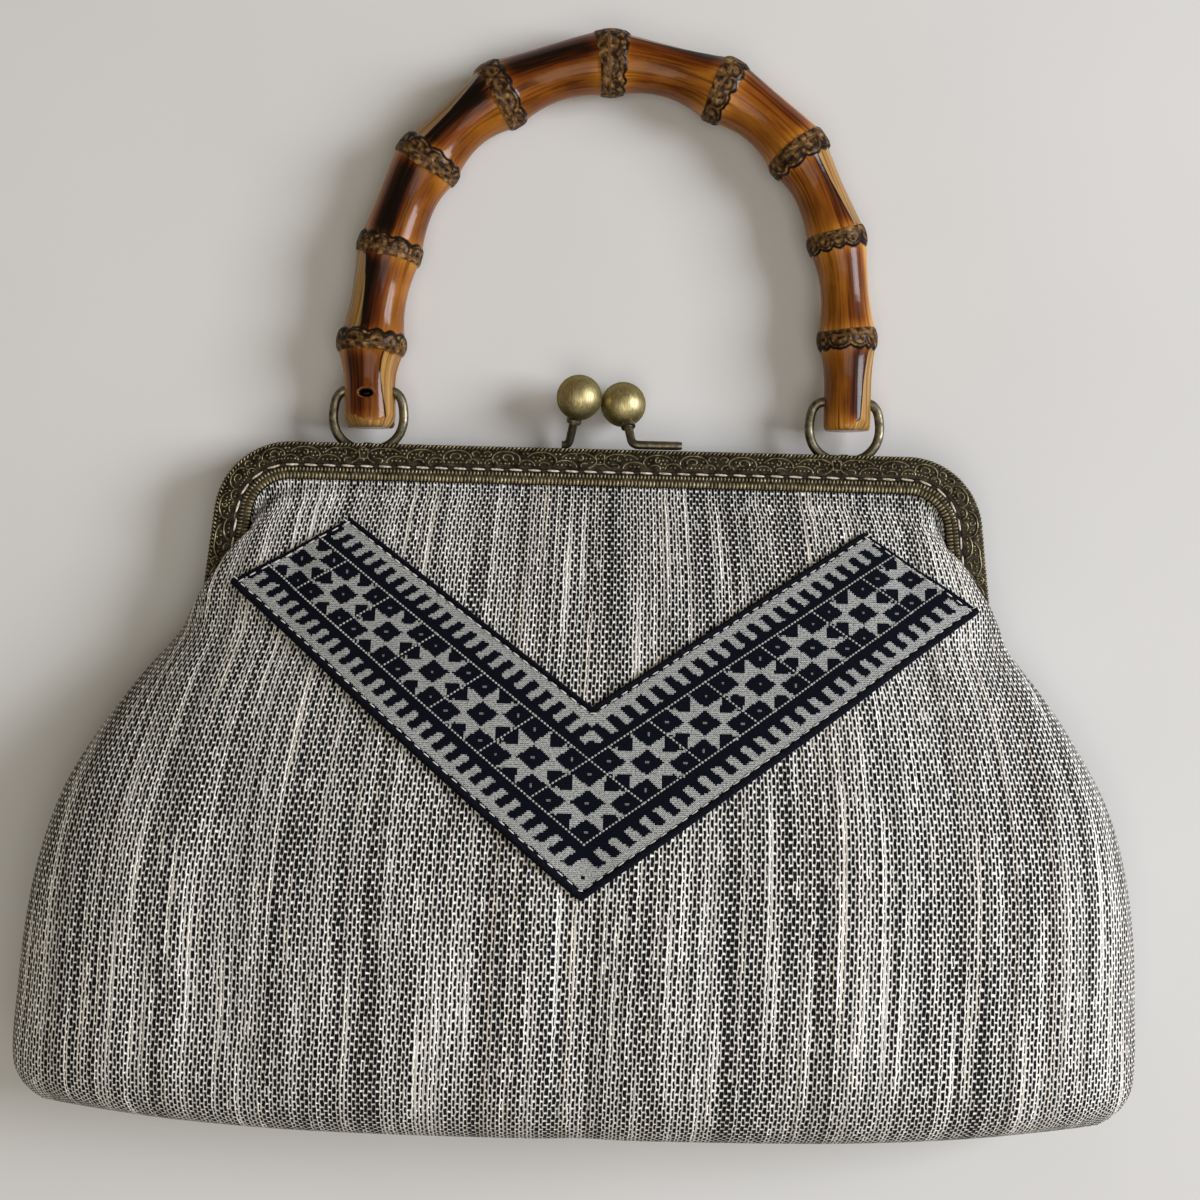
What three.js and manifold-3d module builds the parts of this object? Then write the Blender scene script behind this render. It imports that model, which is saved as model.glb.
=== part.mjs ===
// A frame bag with a bamboo handle, lying on its back.
// Millimetres, +Z up from the table. +X runs across the bag and +Y from its base to its handle.
// Lengths along the bag are drops below the frame's top edge, or rises above it.
import * as THREE from 'three';
import { mergeVertices } from 'three/addons/utils/BufferGeometryUtils.js';
import Module from 'manifold-3d';

const wasm = await Module();
wasm.setup();

// Purse frame: two bent channels that meet at the parting plane.
const PARTING_Z = 9.4;
const PARTING_GAP = 0.6;
const HALF_DEPTH = 6.5;
const FRAME_SHOULDER = 98.7;
const FRAME_CORNER = 20;
const LEG_DROP = 40;
const LEG_SPLAY = THREE.MathUtils.degToRad(6.5);
const CORNER_STEPS = 7;

// Section of one frame half, from the parting plane round to the lip. across is measured
// inwards from the outer edge, face and back are heights from the parting plane.
const CHANNEL = [
  { across: 0.0, face: 0.0, inner: 1.4, back: 0.0 },
  { across: 0.0, face: 5.7, inner: 1.4, back: 4.6 },
  { across: 0.8, face: 6.5, inner: 1.9, back: 5.1 },
  { across: 5.4, face: 6.5, inner: 5.4, back: 5.1 },
  { across: 6.1, face: 6.2, inner: 6.1, back: 4.9 },
  { across: 6.8, face: 6.4, inner: 6.8, back: 4.9 },
  { across: 8.9, face: 6.4, inner: 8.9, back: 4.9 },
  { across: 9.8, face: 5.7, inner: 9.8, back: 4.8 },
];

// Raised scrolls along the top of each half, as arcs about a centre, mirrored about each motif.
// along is measured from the motif's middle and across from the frame's top edge.
const MOTIF_CENTRES = [-31, 31];
const SCROLLS = [
  { along: 5.6, across: 4.5, wide: 4.8, high: 3.3, from: 190, to: 25 },
  { along: 9.3, across: 5.3, wide: 2.9, high: 1.9, from: 170, to: 10 },
  { along: 19.6, across: 4.3, wide: 5.4, high: 3.1, from: 160, to: -10 },
  { along: 27.2, across: 3.6, wide: 2.7, high: 1.9, from: 215, to: -60 },
];
const SCROLL_STEPS = 5;
const SCROLL_WIDTH = 0.8;
const SCROLL_HEIGHT = 0.35;
const SCROLL_ROOT = 0.3;

// Hinge links, hidden between the ends of the legs.
const HINGE_SIZE = new THREE.Vector3(2, 6, 9.4);
const HINGE_DROP = 36;
const HINGE_INSET = 2.8;

// D-rings and the eyes that carry them in a notch of the rim.
const HANDLE_SHIFT = 1.5;
const HANDLE_SPAN = 126.2;
const RING_WIRE = 2.2;
const RING_EYE_DROP = 1.6;
const RING_BAR_RISE = 14.2;
const RING_HALF_BAR = 7.4;
const RING_HALF_WIDTH = 9.3;
const RING_SHOULDER_INSET = 0.3;
const RING_SHOULDER_FALL = 1.8;
const RING_WIDEST_FALL = 9.6;
const RING_HIP_INSET = 1.4;
const RING_HIP_RISE = 2.0;
const RING_FOOT_INSET = 4.1;
const RING_FOOT_RISE = 1.4;
const RING_STEPS = 36;
const RING_SIDES = 6;
const EYE_BORE = 3.0;
const EYE_WALL = 0.75;
const EYE_LENGTH = 2;
const EYE_ROOT = 1;
const NOTCH_LENGTH = 17;
const NOTCH_HALF_DEPTH = 2.9;
const NOTCH_HEIGHT = 4;

// Kiss-lock clasp.
const BALL = 12;
const BALL_HALF_SPACING = 5.85;
const BALL_RISE = { front: 12.6, back: 13.8 };
const BALL_LEAN = 2;
const COLLAR = 3.8;
const COLLAR_LENGTH = 1.6;
const STEM = 2.3;
const STEM_SPLAY = 2.6;
const COLLAR_SINK = 0.5;
const RIM_MIDDLE = 3.85;
const FOOT_REACH = { front: 21.5, back: 10.3 };
const FOOT_GAP = 0.35;

// Cloth and braid.
const CLOTH = 1.6;
const SEAM_GAP = 0.4;
const BODY_LEAN = 3.4;
const LEAN_FROM = 40;
const PANEL_COLUMNS = { front: 24, back: 14 };
const ROW_STEPS = 1.5;
const BRAID = 1.0;
const BRAID_GAP = 0.45;
const BRAID_STEPS = 14;
const BRAID_COLUMNS = 6;

// Sections of the cloth body, from the frame down to the base. mid and side are drops at the
// middle and at the side edges and bend is how late the row turns from one to the other.
// half is the half width, edge and crest are the front's heights at the side and the middle,
// seat and low are the back's.
const SECTIONS = [
  { mid: 6.5, side: 19.5, bend: 30, half: 94.0, edge: 14.1, crest: 14.1, seat: 5.0, low: 5.0 },
  { mid: 10.2, side: 21.5, bend: 20, half: 89.6, edge: 14.1, crest: 14.3, seat: 5.0, low: 4.8 },
  { mid: 13.0, side: 24.0, bend: 14, half: 89.6, edge: 18.6, crest: 16.4, seat: 0.4, low: 2.2 },
  { mid: 17.5, side: 27.5, bend: 9, half: 95.0, edge: 18.6, crest: 19.4, seat: 0.0, low: 0.0 },
  { mid: 25.0, side: 33.0, bend: 6, half: 100.6, edge: 18.6, crest: 24.6, seat: 0.0, low: -2.0 },
  { mid: 34.0, side: 39.5, bend: 4, half: 104.4, edge: 17.6, crest: 30.2, seat: 0.4, low: -2.0 },
  { mid: 43.5, side: 44.5, bend: 4, half: 106.2, edge: 13.0, crest: 35.2, seat: 4.5, low: -2.0 },
  { mid: 52.0, side: 51.0, bend: 4, half: 109.6, edge: 10.5, crest: 39.4, seat: 10.1, low: -2.0 },
  { mid: 64.0, side: 63.0, bend: 4, half: 118.9, edge: 13.5, crest: 45.0, seat: 13.1, low: -2.0 },
  { mid: 78.0, side: 76.0, bend: 4, half: 127.3, edge: 17.5, crest: 49.8, seat: 17.1, low: -2.0 },
  { mid: 94.0, side: 91.0, bend: 4, half: 135.0, edge: 21.0, crest: 53.6, seat: 20.6, low: -2.0 },
  { mid: 112.0, side: 108.0, bend: 4, half: 139.8, edge: 23.5, crest: 56.0, seat: 23.1, low: -2.0 },
  { mid: 130.0, side: 125.0, bend: 4, half: 142.3, edge: 24.5, crest: 57.0, seat: 24.1, low: -2.0 },
  { mid: 147.0, side: 141.0, bend: 4, half: 143.3, edge: 25.0, crest: 56.0, seat: 24.6, low: -2.0 },
  { mid: 160.0, side: 153.0, bend: 4, half: 144.0, edge: 25.0, crest: 52.5, seat: 24.6, low: -2.0 },
  { mid: 169.0, side: 161.0, bend: 4, half: 143.8, edge: 25.0, crest: 46.0, seat: 24.6, low: 0.5 },
  { mid: 174.5, side: 166.0, bend: 4, half: 142.0, edge: 25.0, crest: 38.0, seat: 24.6, low: 6.0 },
  { mid: 177.0, side: 169.5, bend: 4, half: 139.0, edge: 25.0, crest: 31.0, seat: 24.6, low: 14.0 },
  { mid: 177.8, side: 171.5, bend: 4, half: 136.0, edge: 25.0, crest: 25.0, seat: 24.6, low: 24.6 },
];

// Dents and creases of the front, each a shallow trough about its middle.
const FOLDS = [
  { x: -3, drop: 152, across: 8, along: 36, depth: 2.0 },
  { x: -108, drop: 146, across: 13, along: 20, depth: 1.8 },
  { x: -112, drop: 76, across: 9, along: 15, depth: 2.0 },
  { x: 111, drop: 78, across: 9, along: 16, depth: 2.0 },
  { x: -78, drop: 30, across: 5, along: 13, depth: 1.5 },
  { x: 80, drop: 31, across: 5, along: 13, depth: 1.5 },
];
const FOLD_FADE = 10;
const FLAT_ROWS = 5;
const SEWN_ROW = 7;
const FRONT_FULLNESS = 2.4;
const BACK_FULLNESS = 5;

// Corners of the braid's two arms, across the bag and down from the frame's top edge.
const BRAID_CORNERS = {
  leftEnd: { outer: [-93.8, 37.5], inner: [-64.5, 20.9] },
  point: { outer: [-2.0, 112.7], inner: [-0.3, 67.1] },
  rightEnd: { outer: [98.3, 40.2], inner: [69.2, 21.4] },
};

// Knots of the bamboo, from the left end to the right end. x is measured from the handle's
// middle, swell is the radius at the knot and waist the radius halfway to the next one.
const KNOTS = [
  { x: -62.6, rise: 4.7, swell: 6.6, waist: 6.7 },
  { x: -62.8, rise: 26.6, swell: 9.0, waist: 7.5 },
  { x: -58.7, rise: 51.5, swell: 8.5, waist: 7.5 },
  { x: -49.1, rise: 75.3, swell: 8.9, waist: 7.4 },
  { x: -30.2, rise: 93.4, swell: 9.2, waist: 7.4 },
  { x: -1.3, rise: 102.81, swell: 8.6, waist: 6.9 },
  { x: 28.4, rise: 96.3, swell: 8.8, waist: 7.2 },
  { x: 48.9, rise: 80.1, swell: 8.4, waist: 6.8 },
  { x: 59.8, rise: 57.3, swell: 7.7, waist: 6.3 },
  { x: 63.2, rise: 31.2, swell: 7.7, waist: 6.2 },
  { x: 63.8, rise: 7.0, swell: 6.2, waist: 6.2 },
];
const BAMBOO_SIDES = 10;
const SIGHT_HOLE = 3;

// Joins rings of points into one closed skin. A ring lists an outer line and then the matching
// inner line backwards, so that an open end is closed by a ladder between the two lines.
function loft(rings, closed = false) {
  const count = rings[0].length;
  const points = rings.flat();
  const index = [];
  const spans = closed ? rings.length : rings.length - 1;
  for (let ring = 0; ring < spans; ring += 1) {
    const here = ring * count;
    const next = ((ring + 1) % rings.length) * count;
    for (let i = 0; i < count; i += 1) {
      const j = (i + 1) % count;
      index.push(here + i, here + j, next + j, here + i, next + j, next + i);
    }
  }
  if (!closed) {
    const last = (rings.length - 1) * count;
    for (let i = 0; i < count / 2 - 1; i += 1) {
      const [a, b, c, d] = [i, i + 1, count - 2 - i, count - 1 - i];
      index.push(a, c, b, a, d, c);
      index.push(last + a, last + b, last + c, last + a, last + c, last + d);
    }
  }
  if (enclosed(points, index) < 0) {
    index.reverse();
  }
  const geometry = new THREE.BufferGeometry().setFromPoints(points);
  geometry.setIndex(index);
  return geometry;
}

// Six times the signed volume inside a skin, which is negative where its faces point inwards.
function enclosed(points, index) {
  let sum = 0;
  for (let i = 0; i < index.length; i += 3) {
    const [a, b, c] = [points[index[i]], points[index[i + 1]], points[index[i + 2]]];
    sum += a.dot(b.clone().cross(c));
  }
  return sum;
}

function toSolid(geometry) {
  const bare = geometry.clone();
  bare.deleteAttribute('normal');
  bare.deleteAttribute('uv');
  const merged = mergeVertices(bare, 1e-4);
  const mesh = new wasm.Mesh({
    numProp: 3,
    vertProperties: new Float32Array(merged.attributes.position.array),
    triVerts: new Uint32Array(merged.index.array),
  });
  return new wasm.Manifold(mesh);
}

function fromSolid(solid) {
  const mesh = solid.getMesh();
  const geometry = new THREE.BufferGeometry();
  geometry.setAttribute('position', new THREE.BufferAttribute(mesh.vertProperties, 3));
  geometry.setIndex(new THREE.BufferAttribute(mesh.triVerts, 1));
  return geometry;
}

// Round bar between two points.
function rod(from, to, diameter, sides = 12) {
  const way = to.clone().sub(from);
  const geometry = new THREE.CylinderGeometry(diameter / 2, diameter / 2, way.length(), sides);
  const turn = new THREE.Quaternion().setFromUnitVectors(new THREE.Vector3(0, 1, 0), way.normalize());
  geometry.applyQuaternion(turn);
  const middle = from.clone().add(to).multiplyScalar(0.5);
  return geometry.translate(middle.x, middle.y, middle.z);
}

function block(size, centre) {
  return new THREE.BoxGeometry(size.x, size.y, size.z).translate(centre.x, centre.y, centre.z);
}

// Outer edge of the frame from the left leg's end to the right one, with the inward direction.
function frameOutline() {
  const legEnd = FRAME_SHOULDER + LEG_DROP * Math.tan(LEG_SPLAY);
  const centreX = FRAME_SHOULDER - (FRAME_CORNER * (1 - Math.sin(LEG_SPLAY))) / Math.cos(LEG_SPLAY);
  const sweep = Math.PI / 2 - LEG_SPLAY;
  const right = [];
  for (let step = 0; step <= CORNER_STEPS; step += 1) {
    const angle = Math.PI / 2 - (sweep * step) / CORNER_STEPS;
    const out = new THREE.Vector2(Math.cos(angle), Math.sin(angle));
    const edge = new THREE.Vector2(centreX, -FRAME_CORNER).addScaledVector(out, FRAME_CORNER);
    right.push({ edge, inward: out.clone().negate() });
  }
  const legInward = right[CORNER_STEPS].inward.clone();
  right.push({ edge: new THREE.Vector2(legEnd, -LEG_DROP), inward: legInward });
  const mirror = (v) => new THREE.Vector2(-v.x, v.y);
  const left = right.map(({ edge, inward }) => ({ edge: mirror(edge), inward: mirror(inward) }));
  return [...left.reverse(), ...right];
}

// One frame half. side is 1 for the front half above the parting plane and -1 for the back half.
function frameHalf(side) {
  const place = (station, across, height) => {
    const spot = station.edge.clone().addScaledVector(station.inward, across);
    return new THREE.Vector3(spot.x, spot.y, PARTING_Z + side * (PARTING_GAP / 2 + height));
  };
  const rings = frameOutline().map((station) => {
    const face = CHANNEL.map((row) => place(station, row.across, row.face));
    const back = CHANNEL.map((row) => place(station, row.inner, row.back));
    return [...face, ...back.reverse()];
  });
  let solid = toSolid(loft(rings));
  for (const rib of scrollwork(side)) {
    solid = solid.add(rib);
  }
  const notch = new THREE.Vector3(NOTCH_LENGTH, NOTCH_HEIGHT, 2 * NOTCH_HALF_DEPTH);
  for (const x of ringCentres()) {
    solid = solid.subtract(toSolid(block(notch, new THREE.Vector3(x, 0, PARTING_Z))));
  }
  if (side < 0) {
    for (const x of ringCentres()) {
      solid = solid.add(ringEye(x));
    }
  }
  return fromSolid(solid);
}

// Scroll ribs that stand on the face of one frame half.
function scrollwork(side) {
  const faceZ = PARTING_Z + side * (PARTING_GAP / 2 + HALF_DEPTH);
  const ribs = [];
  for (const centre of MOTIF_CENTRES) {
    for (const flip of [-1, 1]) {
      for (const arc of SCROLLS) {
        ribs.push(toSolid(scrollRib(arc, centre, flip, faceZ, side)));
      }
    }
  }
  return ribs;
}

function scrollRib(arc, centre, flip, faceZ, side) {
  const rings = [];
  for (let step = 0; step <= SCROLL_STEPS; step += 1) {
    const angle = THREE.MathUtils.degToRad(arc.from + ((arc.to - arc.from) * step) / SCROLL_STEPS);
    const spot = (spread, height) => new THREE.Vector3(
      centre + flip * (arc.along + (arc.wide + spread) * Math.cos(angle)),
      -arc.across + (arc.high + spread) * Math.sin(angle),
      faceZ + side * height,
    );
    const half = SCROLL_WIDTH / 2;
    rings.push([
      spot(-half, -SCROLL_ROOT),
      spot(-half / 2, SCROLL_HEIGHT),
      spot(half / 2, SCROLL_HEIGHT),
      spot(half, -SCROLL_ROOT),
    ]);
  }
  return loft(rings);
}

function ringCentres() {
  return [HANDLE_SHIFT - HANDLE_SPAN / 2, HANDLE_SHIFT + HANDLE_SPAN / 2];
}

// Eye soldered to the back half, which the D-ring swings in.
function ringEye(x) {
  const reach = EYE_BORE / 2 + EYE_WALL;
  const foot = PARTING_Z - HALF_DEPTH + EYE_ROOT;
  const size = new THREE.Vector3(EYE_LENGTH, 2 * reach, PARTING_Z + reach - foot);
  const plate = block(size, new THREE.Vector3(x, -RING_EYE_DROP, (PARTING_Z + reach + foot) / 2));
  const bore = rod(
    new THREE.Vector3(x - EYE_LENGTH, -RING_EYE_DROP, PARTING_Z),
    new THREE.Vector3(x + EYE_LENGTH, -RING_EYE_DROP, PARTING_Z),
    EYE_BORE,
  );
  return toSolid(plate).subtract(toSolid(bore));
}

function hinge(side) {
  const wall = FRAME_SHOULDER + HINGE_DROP * Math.tan(LEG_SPLAY);
  const centre = new THREE.Vector3(side * (wall - HINGE_INSET), -HINGE_DROP, PARTING_Z);
  return block(HINGE_SIZE, centre);
}

// D-ring: a straight bar through the bamboo, sides that widen a little and a rounded foot.
function dRing(x) {
  const outline = [
    [0, RING_BAR_RISE],
    [RING_HALF_BAR, RING_BAR_RISE],
    [RING_HALF_WIDTH - RING_SHOULDER_INSET, RING_BAR_RISE - RING_SHOULDER_FALL],
    [RING_HALF_WIDTH, RING_BAR_RISE - RING_WIDEST_FALL],
    [RING_HALF_WIDTH - RING_HIP_INSET, RING_HIP_RISE],
    [RING_HALF_WIDTH - RING_FOOT_INSET, RING_FOOT_RISE - RING_EYE_DROP],
    [0, -RING_EYE_DROP],
  ];
  const mirrored = outline.slice(1, -1).reverse().map(([across, rise]) => [-across, rise]);
  const toSpot = ([across, rise]) => new THREE.Vector3(x + across, rise, PARTING_Z);
  const spots = [...outline, ...mirrored].map(toSpot);
  const path = new THREE.CatmullRomCurve3(spots, true, 'centripetal');
  const up = new THREE.Vector3(0, 0, 1);
  const rings = [];
  for (let step = 0; step < RING_STEPS; step += 1) {
    const at = path.getPointAt(step / RING_STEPS);
    const out = path.getTangentAt(step / RING_STEPS).cross(up);
    const ring = [];
    for (let k = 0; k < RING_SIDES; k += 1) {
      const angle = (2 * Math.PI * k) / RING_SIDES;
      const spot = at.clone().addScaledVector(out, (Math.cos(angle) * RING_WIRE) / 2);
      ring.push(spot.addScaledVector(up, (Math.sin(angle) * RING_WIRE) / 2));
    }
    rings.push(ring);
  }
  return loft(rings, true);
}

// One clasp half: ball, collar, bent stem and the foot soldered along the rim, short on the back.
// side is 1 for the front half, whose ball stands on the right and leans to the back.
function clasp(side) {
  const rimZ = PARTING_Z + side * RIM_MIDDLE;
  const half = side > 0 ? 'front' : 'back';
  const ballZ = PARTING_Z - side * BALL_LEAN;
  const ball = new THREE.Vector3(side * BALL_HALF_SPACING, BALL_RISE[half], ballZ);
  const bend = new THREE.Vector3(side * (BALL_HALF_SPACING + STEM_SPLAY), FOOT_GAP + STEM / 2, rimZ);
  const toe = new THREE.Vector3(side * FOOT_REACH[half], FOOT_GAP + STEM / 2, rimZ);
  const stemWay = ball.clone().sub(bend).normalize();
  const neck = ball.clone().addScaledVector(stemWay, COLLAR_SINK - BALL / 2);
  const collarFoot = neck.clone().addScaledVector(stemWay, -COLLAR_LENGTH);
  const pieces = [
    new THREE.SphereGeometry(BALL / 2, 14, 9).rotateX(Math.PI / 2).translate(ball.x, ball.y, ball.z),
    rod(collarFoot, neck, COLLAR, 10),
    rod(bend, ball, STEM, 8),
    new THREE.SphereGeometry(STEM / 2, 8, 6).translate(bend.x, bend.y, bend.z),
    rod(bend, toe, STEM, 8),
  ];
  const solids = pieces.map(toSolid);
  return fromSolid(solids.reduce((whole, piece) => whole.add(piece)));
}

// Value of one column of SECTIONS at a place between its rows.
function sectionAt(column, row) {
  const last = SECTIONS.length - 1;
  const base = Math.min(Math.floor(row), last - 1);
  const pick = (i) => SECTIONS[THREE.MathUtils.clamp(i, 0, last)][column];
  const t = row - base;
  const [a, b, c, d] = [pick(base - 1), pick(base), pick(base + 1), pick(base + 2)];
  const slopeB = c === b || b === a ? 0 : (c - a) / 2;
  const slopeC = c === b || d === c ? 0 : (d - b) / 2;
  const bulge = (1 - t) * slopeB - t * slopeC;
  return b + (c - b) * t * t * (3 - 2 * t) + t * (1 - t) * bulge;
}

function dropAt(row, share) {
  const mid = sectionAt('mid', row);
  return mid + (sectionAt('side', row) - mid) * Math.abs(share) ** sectionAt('bend', row);
}

function leanAt(drop) {
  const length = SECTIONS[SECTIONS.length - 1].mid - LEAN_FROM;
  return -BODY_LEAN * Math.max(0, (drop - LEAN_FROM) / length);
}

function foldDepth(x, drop) {
  let depth = 0;
  for (const fold of FOLDS) {
    const reach = ((x - fold.x) / fold.across) ** 2 + ((drop - fold.drop) / fold.along) ** 2;
    depth += fold.depth * Math.exp(-reach);
  }
  return depth;
}

// Outer face of the cloth. turn runs from -1 at the left seam to 1 at the right seam.
function clothPoint(isFront, row, turn) {
  const fullness = isFront ? FRONT_FULLNESS : BACK_FULLNESS;
  const angle = (turn * Math.PI) / 2;
  const share = Math.sign(turn) * Math.abs(Math.sin(angle)) ** (2 / fullness);
  const rise = Math.abs(Math.cos(angle)) ** (2 / fullness);
  const drop = dropAt(row, share);
  const top = sectionAt('edge', row);
  const edge = isFront ? top : Math.min(sectionAt('seat', row), top - SEAM_GAP);
  const middle = isFront ? sectionAt('crest', row) : Math.min(sectionAt('low', row), edge);
  const x = leanAt(drop) + share * sectionAt('half', row);
  const slack = isFront ? rise * Math.min(1, Math.abs(middle - edge) / FOLD_FADE) : 0;
  const height = edge + (middle - edge) * rise - foldDepth(x, drop) * slack;
  return new THREE.Vector3(x, -drop, Math.max(0, height));
}

function clothNormal(isFront, row, turn) {
  const step = 0.02;
  const last = SECTIONS.length - 1;
  const above = clothPoint(isFront, Math.max(0, row - step), turn);
  const below = clothPoint(isFront, Math.min(last, row + step), turn);
  const left = clothPoint(isFront, row, Math.max(-1, turn - step));
  const right = clothPoint(isFront, row, Math.min(1, turn + step));
  const upright = new THREE.Vector3(0, 0, 1);
  const square = right.sub(left).cross(above.sub(below)).normalize();
  const normal = upright.lerp(square, THREE.MathUtils.smoothstep(row, FLAT_ROWS, SEWN_ROW)).normalize();
  return isFront ? normal : normal.negate();
}

// Inner face of the cloth. Below the frame it stays on its own side of the seam.
function clothInside(isFront, row, turn) {
  const spot = clothPoint(isFront, row, turn);
  spot.addScaledVector(clothNormal(isFront, row, turn), -CLOTH);
  if (row >= SEWN_ROW) {
    const seam = sectionAt('edge', row);
    spot.z = isFront ? Math.max(spot.z, seam) : Math.min(spot.z, seam - SEAM_GAP);
  }
  return spot;
}

// Cloth wall of the front or the back, with its thickness inside the outer face.
function panel(isFront) {
  const columns = isFront ? PANEL_COLUMNS.front : PANEL_COLUMNS.back;
  const rows = Math.round((SECTIONS.length - 1) * ROW_STEPS);
  const rings = [];
  for (let r = 0; r <= rows; r += 1) {
    const row = (r / rows) * (SECTIONS.length - 1);
    const outer = [];
    const inner = [];
    for (let c = 0; c <= columns; c += 1) {
      const turn = (2 * c) / columns - 1;
      outer.push(clothPoint(isFront, row, turn));
      inner.push(clothInside(isFront, row, turn));
    }
    rings.push([...outer, ...inner.reverse()]);
  }
  return loft(rings);
}

// Row and turn of the front's point at a given place across and down the bag.
function frontPlace(x, drop) {
  let low = 0;
  let high = SECTIONS.length - 1;
  let share = 0;
  for (let step = 0; step < 40; step += 1) {
    const row = (low + high) / 2;
    share = THREE.MathUtils.clamp((x - leanAt(drop)) / sectionAt('half', row), -1, 1);
    if (dropAt(row, share) < drop) {
      low = row;
    } else {
      high = row;
    }
  }
  const angle = Math.asin(Math.abs(share) ** (FRONT_FULLNESS / 2));
  return { row: low, turn: (Math.sign(share) * angle * 2) / Math.PI };
}

// Ribbon sewn on the front, two arms that meet in a mitred point.
function braid() {
  const arms = [
    [BRAID_CORNERS.leftEnd, BRAID_CORNERS.point],
    [BRAID_CORNERS.point, BRAID_CORNERS.rightEnd],
  ];
  const mix = (a, b, t) => [a[0] + (b[0] - a[0]) * t, a[1] + (b[1] - a[1]) * t];
  const rings = [];
  arms.forEach(([from, to], arm) => {
    for (let step = arm; step <= BRAID_STEPS; step += 1) {
      const outerSpot = mix(from.outer, to.outer, step / BRAID_STEPS);
      const innerSpot = mix(from.inner, to.inner, step / BRAID_STEPS);
      const over = [];
      const under = [];
      for (let c = 0; c <= BRAID_COLUMNS; c += 1) {
        const [x, drop] = mix(outerSpot, innerSpot, c / BRAID_COLUMNS);
        const { row, turn } = frontPlace(x, drop);
        const spot = clothPoint(true, row, turn);
        const normal = clothNormal(true, row, turn);
        over.push(spot.clone().addScaledVector(normal, BRAID_GAP + BRAID));
        under.push(spot.clone().addScaledVector(normal, BRAID_GAP));
      }
      rings.push([...over, ...under.reverse()]);
    }
  });
  return loft(rings);
}

// Bent bamboo with a swelling at each knot, bored across both ends for the rings.
function bamboo() {
  const spots = KNOTS.map((knot) => new THREE.Vector3(HANDLE_SHIFT + knot.x, knot.rise, PARTING_Z));
  const path = new THREE.CatmullRomCurve3(spots, false, 'centripetal');
  const up = new THREE.Vector3(0, 0, 1);
  const shapes = [
    { at: 0.0, swell: 1.0 },
    { at: 0.09, swell: 0.85 },
    { at: 0.26, swell: 0.3 },
    { at: 0.5, swell: 0.0 },
    { at: 0.74, swell: 0.3 },
    { at: 0.91, swell: 0.85 },
  ];
  const spans = KNOTS.length - 1;
  const rings = [];
  const addRing = (place, radius) => {
    const at = path.getPoint(place / spans);
    const out = path.getTangent(place / spans).cross(up).normalize();
    const ring = [];
    for (let k = 0; k < BAMBOO_SIDES; k += 1) {
      const angle = (2 * Math.PI * (k + 0.5)) / BAMBOO_SIDES;
      const spot = at.clone().addScaledVector(out, Math.cos(angle) * radius);
      ring.push(spot.addScaledVector(up, Math.sin(angle) * radius));
    }
    rings.push(ring);
  };
  for (let span = 0; span < spans; span += 1) {
    for (const { at, swell } of shapes) {
      const nearest = KNOTS[at < 0.5 ? span : span + 1].swell;
      addRing(span + at, KNOTS[span].waist + (nearest - KNOTS[span].waist) * swell);
    }
  }
  addRing(spans, KNOTS[spans].swell);
  let solid = toSolid(loft(rings));
  for (const x of ringCentres()) {
    const reach = new THREE.Vector3(RING_HALF_WIDTH, 0, 0);
    const middle = new THREE.Vector3(x, RING_BAR_RISE, PARTING_Z);
    const bore = rod(middle.clone().sub(reach), middle.clone().add(reach), EYE_BORE);
    solid = solid.subtract(toSolid(bore));
  }
  const sightX = ringCentres()[0];
  const sight = rod(
    new THREE.Vector3(sightX, RING_BAR_RISE, PARTING_Z),
    new THREE.Vector3(sightX, RING_BAR_RISE, 2 * PARTING_Z),
    SIGHT_HOLE,
  );
  return fromSolid(solid.subtract(toSolid(sight)));
}

const FINISHES = {
  frame: { color: 0x5a5140, roughness: 0.45, metalness: 1 },
  clasp: { color: 0x8a7d4a, roughness: 0.4, metalness: 1 },
  cloth: { color: 0x85847f, roughness: 0.9, metalness: 0 },
  braid: { color: 0x5d6275, roughness: 0.8, metalness: 0 },
  bamboo: { color: 0xb8752c, roughness: 0.3, metalness: 0 },
};

const bag = new THREE.Group();

function addPiece(name, finish, geometry) {
  const piece = new THREE.Mesh(geometry, new THREE.MeshStandardMaterial(FINISHES[finish]));
  piece.name = name;
  bag.add(piece);
}

addPiece('front_panel', 'cloth', panel(true));
addPiece('back_panel', 'cloth', panel(false));
addPiece('braid_trim', 'braid', braid());
addPiece('front_frame', 'frame', frameHalf(1));
addPiece('back_frame', 'frame', frameHalf(-1));
addPiece('hinge_left', 'frame', hinge(-1));
addPiece('hinge_right', 'frame', hinge(1));
addPiece('clasp_front', 'clasp', clasp(1));
addPiece('clasp_back', 'clasp', clasp(-1));
addPiece('ring_left', 'frame', dRing(ringCentres()[0]));
addPiece('ring_right', 'frame', dRing(ringCentres()[1]));
addPiece('bamboo_handle', 'bamboo', bamboo());

// The origin is the middle of the bag's footprint on the table.
const reach = new THREE.Box3().setFromObject(bag);
const middle = reach.getCenter(new THREE.Vector3());
bag.position.set(-middle.x, -middle.y, 0);

const root = new THREE.Group();
root.add(bag);

export default root;
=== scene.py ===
import math

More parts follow.
